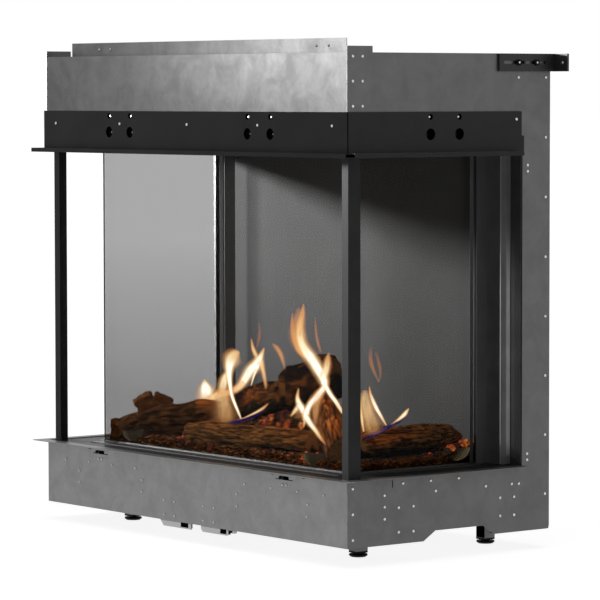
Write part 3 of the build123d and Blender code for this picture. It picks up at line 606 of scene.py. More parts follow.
# Ceramic logs. Each replaces its plain solid and lies on the same line, with bark plates,
# cracks and broken ends. Ends are in millimetres: across, behind the front, up.
logs = {
    "front_log": {"from": (-207, 150, 211), "to": (235, 150, 221), "radius": 27, "bow": 6,
                  "turn": 0, "char": 0.12, "charLow": 0.95, "plate": 0.75, "hollow": 0.55, "warm": 0.8},
    "right_log": {"from": (390, 150, 228), "to": (386, 412, 230), "radius": 32, "bow": -6,
                  "turn": 1, "char": 0.12, "charLow": 0.95, "plate": 0.8, "hollow": 0.0, "warm": 0.85},
    "left_log": {"from": (-408, 98, 203), "to": (-388, 235, 246), "radius": 25, "bow": 6,
                 "turn": 2, "char": 0.05, "charLow": 0.5, "plate": 0.6, "hollow": 0.5, "warm": 0.7},
    "long_log": {"from": (-348, 140, 222), "to": (-158, 214, 250), "radius": 40, "bow": -6,
                 "turn": 3, "char": 0.14, "charLow": 0.1, "plate": 0.25, "hollow": 0.2, "warm": 0.3},
    "charred_log": {"from": (-235, 300, 258), "to": (34, 234, 304), "radius": 36, "bow": 8,
                    "turn": 4, "char": 0.42, "charLow": 0.5, "plate": 0.7, "hollow": 0.0, "warm": 0.3},
    "cross_log": {"from": (120, 262, 296), "to": (350, 134, 214), "radius": 36, "bow": -8,
                  "turn": 5, "char": 0.22, "charLow": 0.5, "plate": 0.35, "hollow": 0.0, "warm": 0.4},
    "thick_log": {"from": (-6, 264, 305), "to": (95, 335, 345), "radius": 52, "bow": 5,
                  "turn": 6, "char": 0.45, "charLow": 0.6, "plate": 1.0, "hollow": 0.0, "warm": 0.3},
}
logMesh = {  # lengths in metres
    "around": 64, "step": 0.0036, "sideRipple": 0.11, "lump": 0.09, "crackDepth": 0.0034,
    "grain": 0.0006, "roundEnd": 0.006,
}


def swell(share):  # the same gentle thickening as the solids have
    stations = ((0, 0.8), (0.2, 1.04), (0.45, 0.96), (0.72, 1.06), (1, 0.84))
    for (a, low), (b, high) in zip(stations, stations[1:]):
        if share <= b:
            return low + (high - low) * (share - a) / (b - a)
    return stations[-1][1]


# Each vertex of a plain round bar is moved out to the bark's surface.
def makeLog(name, look):
    first, last = spotAt(*look["from"]), spotAt(*look["to"])
    run = last - first
    along = run.normalized()
    aside = Vector((along.y, -along.x, 0)).normalized()
    over = along.cross(aside)
    radius, bow, length = look["radius"] / 1000, look["bow"] / 1000, run.length
    rings = round(length / logMesh["step"])
    clearSelection()
    bpy.ops.mesh.primitive_circle_add(vertices=logMesh["around"], radius=radius, fill_type="NGON")
    piece = takeNew(name + "_bark")
    editAll(piece)
    for _ in range(rings):
        extrudeUp(length / rings)
    bpy.ops.object.mode_set(mode="OBJECT")
    selectFaces(piece, lambda face: len(face.vertices) > 4)  # both ends get rings of their own
    for _ in range(6):
        bpy.ops.mesh.inset(thickness=radius * 0.15, use_individual=True)
    pointOutwards(piece)
    crackData, charData, cutData = pointValues(piece, ("crack", "char", "cut"))
    seed = Vector((look["turn"] * 3.7, look["turn"] * 1.9, look["turn"] * 5.3))

    def rough(x, y, z):
        return noise.noise(Vector((x, y, z)) + seed)

    for index, vertex in enumerate(piece.data.vertices):
        x, y, z = vertex.co
        share = limited(z / length)
        angle = math.atan2(y, x)
        cos, sin = math.cos(angle), math.sin(angle)
        inward = min(1, math.hypot(x, y) / radius)
        onEnd = (share < 0.001 or share > 0.999) and inward < 0.97
        ripple = 1 + logMesh["sideRipple"] * math.sin(3 * angle + look["turn"] + share)
        lump = rough(cos * 1.3, sin * 1.3, z * 14) * logMesh["lump"]
        spot = Vector((cos * radius * 150, sin * radius * 150, z * 15)) + seed
        spot += 0.6 * noise.noise_vector(spot * 1.3)
        near, _ = noise.voronoi(spot)
        split = min(1, (near[1] - near[0]) * 2.6)  # 0 in a crack, 1 on a bark plate
        furrow = min(1, abs(rough(cos * 5, sin * 5, z * 9)) * 5)
        grain = rough(x * 900, y * 900, z * 240)
        crack = min(split, 0.35 + 0.65 * furrow)
        deep = look["plate"] * (1 - crack) * logMesh["crackDepth"]
        reach = radius * swell(share) * (ripple + lump) - deep + grain * logMesh["grain"]
        nearEnd = min(share, 1 - share) * length
        if nearEnd < logMesh["roundEnd"]:
            reach -= (logMesh["roundEnd"] - nearEnd) * 0.35
        if onEnd:
            reach = reach * inward
            bowl = look["hollow"] * radius * 0.9 * (1 - inward) if share < 0.5 else 0
            z += bowl + rough(x * 260, y * 260, 3) * 0.003
        else:
            z += rough(cos * 3, sin * 3, z * 30) * 0.002
            if nearEnd < 0.02:
                z += rough(cos * 2, sin * 2, 7) * 0.005
        middle = first + run * limited(z / length) + aside * (bow * math.sin(math.pi * share))
        if z > length:
            middle += along * (z - length)
        if z < 0:
            middle += along * z
        middle = middle + aside * (reach * cos) + over * (reach * sin)
        vertex.co = middle
        facingDown = max(0, -(aside * cos + over * sin).z)
        burnt = noise.noise(middle * 19 + seed) * 0.5 + noise.noise(middle * 60) * 0.3
        crackData[index].value = crack
        # faces that look down get more of the charcoal tone
        charData[index].value = limited(look["char"] + burnt + look["charLow"] * facingDown * 0.8)
        cutData[index].value = 1 - inward if onEnd else 0
    return piece


def alongLog(tree, along, fineness, stretch):  # a vector that runs with the wood
    aside = Vector((along.y, -along.x, 0)).normalized()
    together = tree.nodes.new("ShaderNodeCombineXYZ")
    coordinates = tree.nodes.new("ShaderNodeTexCoord")
    for axis, socket in ((aside, "X"), (along.cross(aside), "Y"), (along / stretch, "Z")):
        dot = tree.nodes.new("ShaderNodeVectorMath")
        dot.operation = "DOT_PRODUCT"
        tree.links.new(coordinates.outputs["Object"], dot.inputs[0])
        dot.inputs[1].default_value = axis * fineness
        tree.links.new(dot.outputs["Value"], together.inputs[socket])
    return together.outputs["Vector"]


# Bark: tan and brown plates, cracks and fissures darkened as painted shade, charcoal where the log has
# burnt, ash on the char.
def barkMaterial(name, warm, along=Vector((1, 0, 0))):
    material, tree, shader = newMaterial(name)
    where = place(tree)
    fissures = cloud(tree, alongLog(tree, along, 210, 8), 1, 6, 0.62, 0.7)
    crack, char, cut = (attributeValue(tree, key) for key in ("crack", "char", "cut"))
    tone = cloud(tree, where, 55, 6, 0.65, 0.8)
    fine = cloud(tree, where, 420, 4, 0.6)
    wood = ramp(tree, weighted(tree, (tone, 0.55), (fissures, 0.45)), (
        (0.36, (0.05 + 0.05 * warm, 0.018 + 0.020 * warm, 0.005)),
        (0.50, (0.13 + 0.17 * warm, 0.048 + 0.075 * warm, 0.013 + 0.018 * warm)),
        (0.66, (0.24 + 0.34 * warm, 0.10 + 0.17 * warm, 0.028 + 0.045 * warm)),
    ))
    # cracks and fissures multiply the wood colour darker: painted shade in the creases
    for value, stops in ((crack, ((0.2, 0.22), (0.6, 1.0))), (fissures, ((0.36, 0.12), (0.45, 1.0)))):
        wood = blendColours(tree, 1.0, wood, ramp(tree, value, stops), "MULTIPLY")
    rings = math2(tree, "SINE", math2(tree, "MULTIPLY", cut, 70), 0)
    ringTone = ramp(tree, rings, ((0.2, (0.20, 0.10, 0.035)), (0.9, (0.36, 0.20, 0.08))))
    wood = blendColours(tree, ramp(tree, cut, ((0.02, 0), (0.06, 1))), wood, ringTone)
    charcoal = ramp(tree, cloud(tree, where, 700, 3, 0.7), (
        (0.55, (0.006, 0.005, 0.005)), (0.72, (0.05, 0.045, 0.04)), (0.8, (0.25, 0.2, 0.16))))
    edge = math2(tree, "SUBTRACT", cloud(tree, where, 130, 5, 0.7), 0.5)
    burntShare = ramp(tree, weighted(tree, (char, 1), (edge, 0.7)), ((0.38, 0), (0.62, 1)))
    setColour(tree, shader, blendColours(tree, burntShare, wood, charcoal))
    setGloss(shader, 0.9, 0.015)
    bump(tree, shader, weighted(tree, (fine, 0.4), (fissures, 1.4)), 0.7, 0.0022)
    return material


for name, look in logs.items():
    log = makeLog(name, look)
    smooth(log, 60)
    lies = (Vector(look["to"]) - Vector(look["from"])).normalized()
    finishPiece(log, "base", barkMaterial(name + "Bark", look["warm"], lies), [name])
print("logs made:", len(logs))


# The ember bed: crumbled ceramic in the tray, over its rim up to the glass, with a heap
# between the logs and one at the right rear. Millimetres across, behind the front and up.
# Each heap has its foot and its crown: across from and to, behind from and to, height.
bed = {
    "side": 437, "front": 94.5, "rear": 447, "foot": 179.4, "crown": 198.5, "slope": 22,
    "trayFoot": 166, "traySide": 425, "trayFront": 106.5, "trayRear": 416.5, "cell": 4.0, "grain": 2.2,
    "heaps": (
        ((-250, 350, 188, 412, 198.5), (-150, 300, 228, 372, 245)),
        ((-60, 240, 230, 340, 245), (-10, 190, 240, 310, 266)),
        ((378, 442, 350, 451, 198.5), (404, 432, 392, 438, 220)),
    ),
}


def bedHeight(across, behind):
    share = min((bed["side"] - abs(across)) / bed["slope"], (behind - bed["front"]) / bed["slope"],
                (bed["rear"] - behind) / bed["slope"], 1)
    height = bed["foot"] + (bed["crown"] - bed["foot"]) * max(0, share) ** 0.7
    for low, high in bed["heaps"]:
        rise = min((across - low[0]) / (high[0] - low[0]), (low[1] - across) / (low[1] - high[1]),
                   (behind - low[2]) / (high[2] - low[2]), (low[3] - behind) / (low[3] - high[3]), 1)
        if rise > 0:
            height = max(height, low[4] + (high[4] - low[4]) * rise)
    return height


def bedSurface(across, behind):  # the same with lumps
    spot = Vector((across * 0.055, behind * 0.055, 0))
    near, _ = noise.voronoi(spot)
    lumps = (near[1] - near[0]) * 3.2 + noise.noise(spot * 0.4) * 3
    edge = limited(min(bed["side"] - abs(across), behind - bed["front"]) / 14)
    return bedHeight(across, behind) - bed["grain"] * 1.6 + min(lumps, 3.4) * (0.3 + 0.7 * edge)


def makeBed():
    wide, deep = 2 * bed["side"], bed["rear"] - bed["front"]
    clearSelection()
    bpy.ops.mesh.primitive_grid_add(
        x_subdivisions=round(wide / bed["cell"]), y_subdivisions=round(deep / bed["cell"]), size=1)
    piece = takeNew("ember_ground")
    editAll(piece)
    bpy.ops.transform.resize(value=(wide / 1000, deep / 1000, 1))
    extrudeUp(1)
    pointOutwards(piece)
    centre = (bed["front"] + bed["rear"]) / 2
    for vertex in piece.data.vertices:
        across, behind = vertex.co.x * 1000, vertex.co.y * 1000 + centre
        if vertex.co.z > 0.5:
            up = bedSurface(across, behind)
        else:
            inTray = abs(across) < bed["traySide"] and bed["trayFront"] < behind < bed["trayRear"]
            up = bed["trayFoot"] if inTray else bed["foot"]
        vertex.co = spotAt(across, behind, up)
    return piece


def emberGround():
    material, tree, shader = newMaterial("emberGround")
    where = place(tree)
    pebbles = cells(tree, where, 120)
    tone = cloud(tree, where, 75, 5, 0.65)
    colour = ramp(tree, weighted(tree, (tone, 0.6), (pebbles.outputs["Color"], 0.4)), (
        (0.30, (0.012, 0.008, 0.005)), (0.52, (0.075, 0.036, 0.015)), (0.72, (0.24, 0.12, 0.045))))
    # darker in the gaps between the pebbles: painted shade
    edges = cells(tree, where, 120, "DISTANCE_TO_EDGE").outputs["Distance"]
    gaps = ramp(tree, edges, ((0.02, 0.15), (0.16, 1)))
    setColour(tree, shader, blendColours(tree, 1.0, colour, gaps, "MULTIPLY"))
    setGloss(shader, 0.9, 0.02)
    bump(tree, shader, weighted(tree, (tone, 1), (pebbles.outputs["Distance"], -0.8)), 0.7, 0.003)
    return material


ground = makeBed()
smooth(ground, 60)
finishPiece(ground, "base", emberGround(), ["ember_bed"])
print("ember bed made")


# Chips: a few broken templates, scattered over the bed and joined to a few pieces.
chipShapes = {  # half sizes in metres, how ragged, seed
    "flake": ((0.0062, 0.0040, 0.0013), 0.45, 3),
    "crumb": ((0.0036, 0.0032, 0.0026), 0.35, 8),
    "splinter": ((0.0095, 0.0022, 0.0017), 0.4, 13),
    "nugget": ((0.0052, 0.0044, 0.0038), 0.5, 21),
    "shard": ((0.0078, 0.0038, 0.0020), 0.5, 34),
}


def makeChip(name, halves, ragged, seed):
    clearSelection()
    bpy.ops.mesh.primitive_ico_sphere_add(subdivisions=1, radius=1)
    piece = takeNew(name + "Template")
    broken = random.Random(seed)
    for vertex in piece.data.vertices:
        vertex.co *= 1 + broken.uniform(-ragged, ragged)
        vertex.co = [reach * half for reach, half in zip(vertex.co, halves)]
    return piece


def insideLog(point, margin):
    for look in logs.values():
        first, last = spotAt(*look["from"]), spotAt(*look["to"])
        run = last - first
        share = limited((point - first).dot(run) / run.length_squared)
        if (first + run * share - point).length < look["radius"] / 1000 * margin:
            return True
    return False


chipTemplates = [makeChip(name, *shape) for name, shape in chipShapes.items()]
scatter = random.Random(7)
chipTones = {  # how often, then dark, middle and pale
    "chipsTan": (0.3, (0.06, 0.022, 0.006), (0.22, 0.085, 0.024), (0.55, 0.26, 0.09)),
    "chipsBrown": (0.45, (0.02, 0.008, 0.003), (0.09, 0.033, 0.010), (0.22, 0.085, 0.024)),
    "chipsBlack": (0.25, (0.006, 0.005, 0.004), (0.022, 0.015, 0.010), (0.07, 0.05, 0.035)),
}
shades = tuple(chipTones)
loose = {shade: [] for shade in shades}
zones = (  # how many, across from and to, behind the front from and to
    (2600, -434, 434, 97, 136), (1100, 396, 434, 120, 416), (1300, -430, 430, 130, 416),
    (260, -434, -395, 97, 240), (420, 376, 434, 350, 443),
)
for count, left, right, near, far in zones:
    for _ in range(count):
        across, behind = scatter.uniform(left, right), scatter.uniform(near, far)
        up = bedSurface(across, behind) + scatter.uniform(0.3, 2.6)
        size = scatter.uniform(0.6, 1.35)
        edge = min(bed["side"] - abs(across), behind - bed["front"])
        if edge < 9:
            size *= 0.5
        template = scatter.choice(chipTemplates)
        spin = Matrix.Rotation(scatter.uniform(0, 6.28), 4, "Z")
        spin = spin @ Matrix.Rotation(scatter.uniform(-0.6, 0.6), 4, "X")
        spin = spin @ Matrix.Rotation(scatter.uniform(-0.5, 0.5), 4, "Y")
        shade = scatter.choices(shades, [chipTones[key][0] for key in shades])[0]
        point = spotAt(across, behind, up)
        if insideLog(point, 0.85) or edge < 4.5:
            continue
        matrix = Matrix.Translation(point) @ spin @ Matrix.Scale(size, 4)
        loose[shade].append(copyOf(template, f"{shade}_{len(loose[shade])}", matrix))


def chipFinish(name, dark, middle, pale):
    material, tree, shader = newMaterial(name)
    where = place(tree)
    tone = weighted(tree, (cloud(tree, where, 60, 4, 0.7), 0.65), (cloud(tree, where, 600, 3), 0.35))
    setColour(tree, shader, ramp(tree, tone, ((0.34, dark), (0.5, middle), (0.66, pale))))
    setGloss(shader, 0.85, 0.03)
    bump(tree, shader, cloud(tree, where, 500, 4, 0.7), 0.5, 0.001)
    return material


for shade, (_, *tones) in chipTones.items():
    chips = joined(loose[shade], "ember_" + shade)
    finishPiece(chips, "base", chipFinish(shade, *tones))
print("chips scattered:", [len(loose[shade]) for shade in shades])


# Glowing embers in clusters: across, behind the front, spread, how many, glow.
emberSpots = (
    (-12, 224, 15, 9, 0.8), (-36, 228, 12, 7, 0.6), (51, 224, 15, 9, 0.75), (98, 224, 8, 5, 1.0),
    (8, 250, 16, 9, 0.45), (20, 236, 14, 7, 0.4), (242, 134, 16, 8, 0.75), (255, 108, 10, 4, 0.7),
    (345, 262, 20, 8, 0.7), (338, 300, 20, 8, 0.6), (344, 350, 20, 8, 0.55), (420, 372, 14, 8, 0.9),
    (425, 402, 14, 7, 0.8), (412, 330, 10, 4, 0.5), (-180, 120, 18, 5, 0.35), (-60, 112, 14, 4, 0.3),
    (120, 112, 14, 4, 0.35), (-194, 128, 8, 4, 0.8), (150, 232, 22, 8, 0.6), (-110, 214, 20, 6, 0.4),
    (414, 410, 18, 8, 0.7), (424, 428, 14, 6, 0.85), (398, 424, 16, 6, 0.5),
)


def makeEmber():
    clearSelection()
    bpy.ops.mesh.primitive_ico_sphere_add(subdivisions=2, radius=0.0052)
    piece = takeNew("emberTemplate")
    for vertex in piece.data.vertices:
        vertex.co *= 1 + 0.45 * noise.noise(vertex.co * 240) + 0.2 * noise.noise(vertex.co * 700)
    piece.data.attributes.new("glow", "FLOAT", "POINT")
    smooth(piece, 40)
    return piece


def emberGlow():
    material, tree, shader = newMaterial("emberGlow")
    where = place(tree)
    ash = cloud(tree, where, 260, 4, 0.65)
    setColour(tree, shader, ramp(tree, ash, (
        (0.35, (0.02, 0.009, 0.006)), (0.6, (0.08, 0.028, 0.016)), (0.78, (0.22, 0.12, 0.08)))))
    heat = weighted(tree, (cloud(tree, where, 95, 4, 0.7, 0.6), 1), (attributeValue(tree, "glow"), 0.32))
    tree.links.new(ramp(tree, heat, (
        (0.56, (0.010, 0.002, 0.004)), (0.68, (0.12, 0.012, 0.010)), (0.80, (0.55, 0.09, 0.015)),
        (0.94, (1.0, 0.42, 0.10)))), shader.inputs["Emission Color"])
    shader.inputs["Emission Strength"].default_value = 0.9
    setGloss(shader, 0.8, 0.05)
    bump(tree, shader, ash, 0.6, 0.0012)
    return material


emberTemplate = makeEmber()
embers = []
for across, behind, spread, count, glow in emberSpots:
    for _ in range(count):
        x, y = across + scatter.gauss(0, spread * 0.55), behind + scatter.gauss(0, spread * 0.55)
        x, y = min(430, max(-430, x)), min(440, max(102, y))
        point = spotAt(x, y, bedSurface(x, y) + scatter.uniform(1, 6))
        size = scatter.uniform(0.55, 1.35)
        spin = Matrix.Rotation(scatter.uniform(0, 6.28), 4, (scatter.random(), scatter.random(), 1))
        stretch = Matrix.Diagonal((size * scatter.uniform(0.9, 1.6), size, size * 0.8, 1))
        warmth = limited(glow + scatter.gauss(0, 0.15))
        if insideLog(point, 0.8):
            continue
        lump = copyOf(emberTemplate, f"ember_{len(embers)}", Matrix.Translation(point) @ spin @ stretch)
        for item in lump.data.attributes["glow"].data:
            item.value = warmth
        embers.append(lump)
print("embers:", len(embers))
finishPiece(joined(embers, "glowing_embers"), "base", emberGlow())
for template in (emberTemplate, *chipTemplates):
    bpy.data.objects.remove(template)


# Broken pieces of log: two on the left and long logs, one in the bed's left front corner.
blocks = {  # where in millimetres, size in metres, turn about x, y and z, seed
    "left_block": ((-396, 168, 261), (0.043, 0.040, 0.037), (0.2, -0.45, 0.9), 2),
    "middle_block": ((-362, 192, 268), (0.040, 0.034, 0.026), (-0.2, 0.4, 0.6), 5),
    "corner_block": ((-423, 108, 204), (0.023, 0.023, 0.046), (0.05, 0.1, 0.05), 9),
}


def makeBlock(name, where, size, turn, seedNumber):
    clearSelection()
    bpy.ops.mesh.primitive_cube_add(size=1)
    piece = takeNew(name)
    editAll(piece)
    bpy.ops.transform.resize(value=size)
    bpy.ops.mesh.bevel(offset=0.003, segments=2, affect="EDGES")
    bpy.ops.mesh.select_all(action="SELECT")
    bpy.ops.mesh.subdivide(number_cuts=7)
    bpy.ops.object.mode_set(mode="OBJECT")
    seed = Vector((seedNumber * 2.3, seedNumber * 4.1, 1.7))
    for vertex in piece.data.vertices:
        normal = vertex.co.normalized()
        coarse = noise.noise(vertex.co * 55 + seed) * 0.006 + noise.noise(vertex.co * 150 + seed) * 0.004
        fibres = Vector((vertex.co.x * 90, vertex.co.y * 500, vertex.co.z * 500))
        vertex.co += normal * (coarse + noise.noise(fibres + seed) * 0.0014)
    spin = Matrix.Rotation(turn[2], 4, "Z") @ Matrix.Rotation(turn[1], 4, "Y")
    spin = spin @ Matrix.Rotation(turn[0], 4, "X")
    piece.data.transform(Matrix.Translation(spotAt(*where)) @ spin)
    crackData, charData, _ = pointValues(piece, ("crack", "char", "cut"))
    for index, vertex in enumerate(piece.data.vertices):
        # the crack values darken the bark a little in patches: painted shade, with no cracks cut into the
        # block
        crackData[index].value = min(1, 0.55 + abs(noise.noise(vertex.co * 130)) * 1.4)
        charData[index].value = 0.12 + 0.4 * noise.noise(vertex.co * 40 + seed)
    return piece


for name, look in blocks.items():
    block = makeBlock(name, *look)
    smooth(block, 50)
    finishPiece(block, "base", barkMaterial(name + "Bark", 0.2))


# Cut bark shells: half discs with growth rings that lean in the chips.
shells = {  # where in millimetres, radius, which way the cut faces, roll
    "shell_left": ((-352, 108, 206), 0.026, (0.45, -0.85, 0.35), 0.1),
    "shell_middle": ((300, 111, 208), 0.029, (0.65, -0.75, 0.3), 0),
    "shell_right": ((428, 383, 211), 0.028, (0.85, -0.45, 0.4), 0),
}
shellMesh = {"thick": 0.007, "swell": 0.003, "hole": 0.08, "ragged": 0.10}


def makeShell(name, where, radius, face, roll):
    clearSelection()
    bpy.ops.mesh.primitive_grid_add(x_subdivisions=30, y_subdivisions=9, size=1)
    piece = takeNew(name)
    editAll(piece)
    extrudeUp(shellMesh["thick"])
    pointOutwards(piece)
    ringData, = pointValues(piece, ("cut",))
    for index, vertex in enumerate(piece.data.vertices):
        reach = shellMesh["hole"] + (1 - shellMesh["hole"]) * (vertex.co.y + 0.5)
        angle = -math.pi * (vertex.co.x + 0.5)
        rim = noise.noise(Vector((math.cos(angle) * 2, math.sin(angle) * 2, radius * 300)))
        ringData[index].value = max(0.08, 1 - reach)
        span = radius * reach * (1 + shellMesh["ragged"] * rim)
        thick = vertex.co.z + shellMesh["swell"] * (reach - 0.5)
        thick += noise.noise(Vector((span * 160, angle, 0))) * 0.001
        vertex.co = (span * math.cos(angle), span * math.sin(angle), thick)
    out = Vector(face).normalized()
    side = Vector((-out.y, out.x, 0)).normalized()
    turn = Matrix((side, out.cross(side), out)).transposed().to_4x4()
    turn = turn @ Matrix.Rotation(roll, 4, "Z")
    piece.data.transform(Matrix.Translation(spotAt(*where)) @ turn)
    return piece


def shellFinish():
    material, tree, shader = newMaterial("shellCut")
    wobble = weighted(tree, (attributeValue(tree, "cut"), 1), (cloud(tree, place(tree), 60, 3), 0.12))
    rings = math2(tree, "SINE", math2(tree, "MULTIPLY", wobble, 46), 0)
    setColour(tree, shader, ramp(tree, rings, ((0.1, (0.045, 0.04, 0.024)), (0.9, (0.12, 0.105, 0.062)))))
    setGloss(shader, 0.8, 0.2)
    bump(tree, shader, rings, 0.4, 0.0008)
    return material


shellMaterial = shellFinish()
for name, look in shells.items():
    shell = makeShell(name, *look)
    smooth(shell, 40)
    finishPiece(shell, "base", shellMaterial)
print("blocks and shells made")


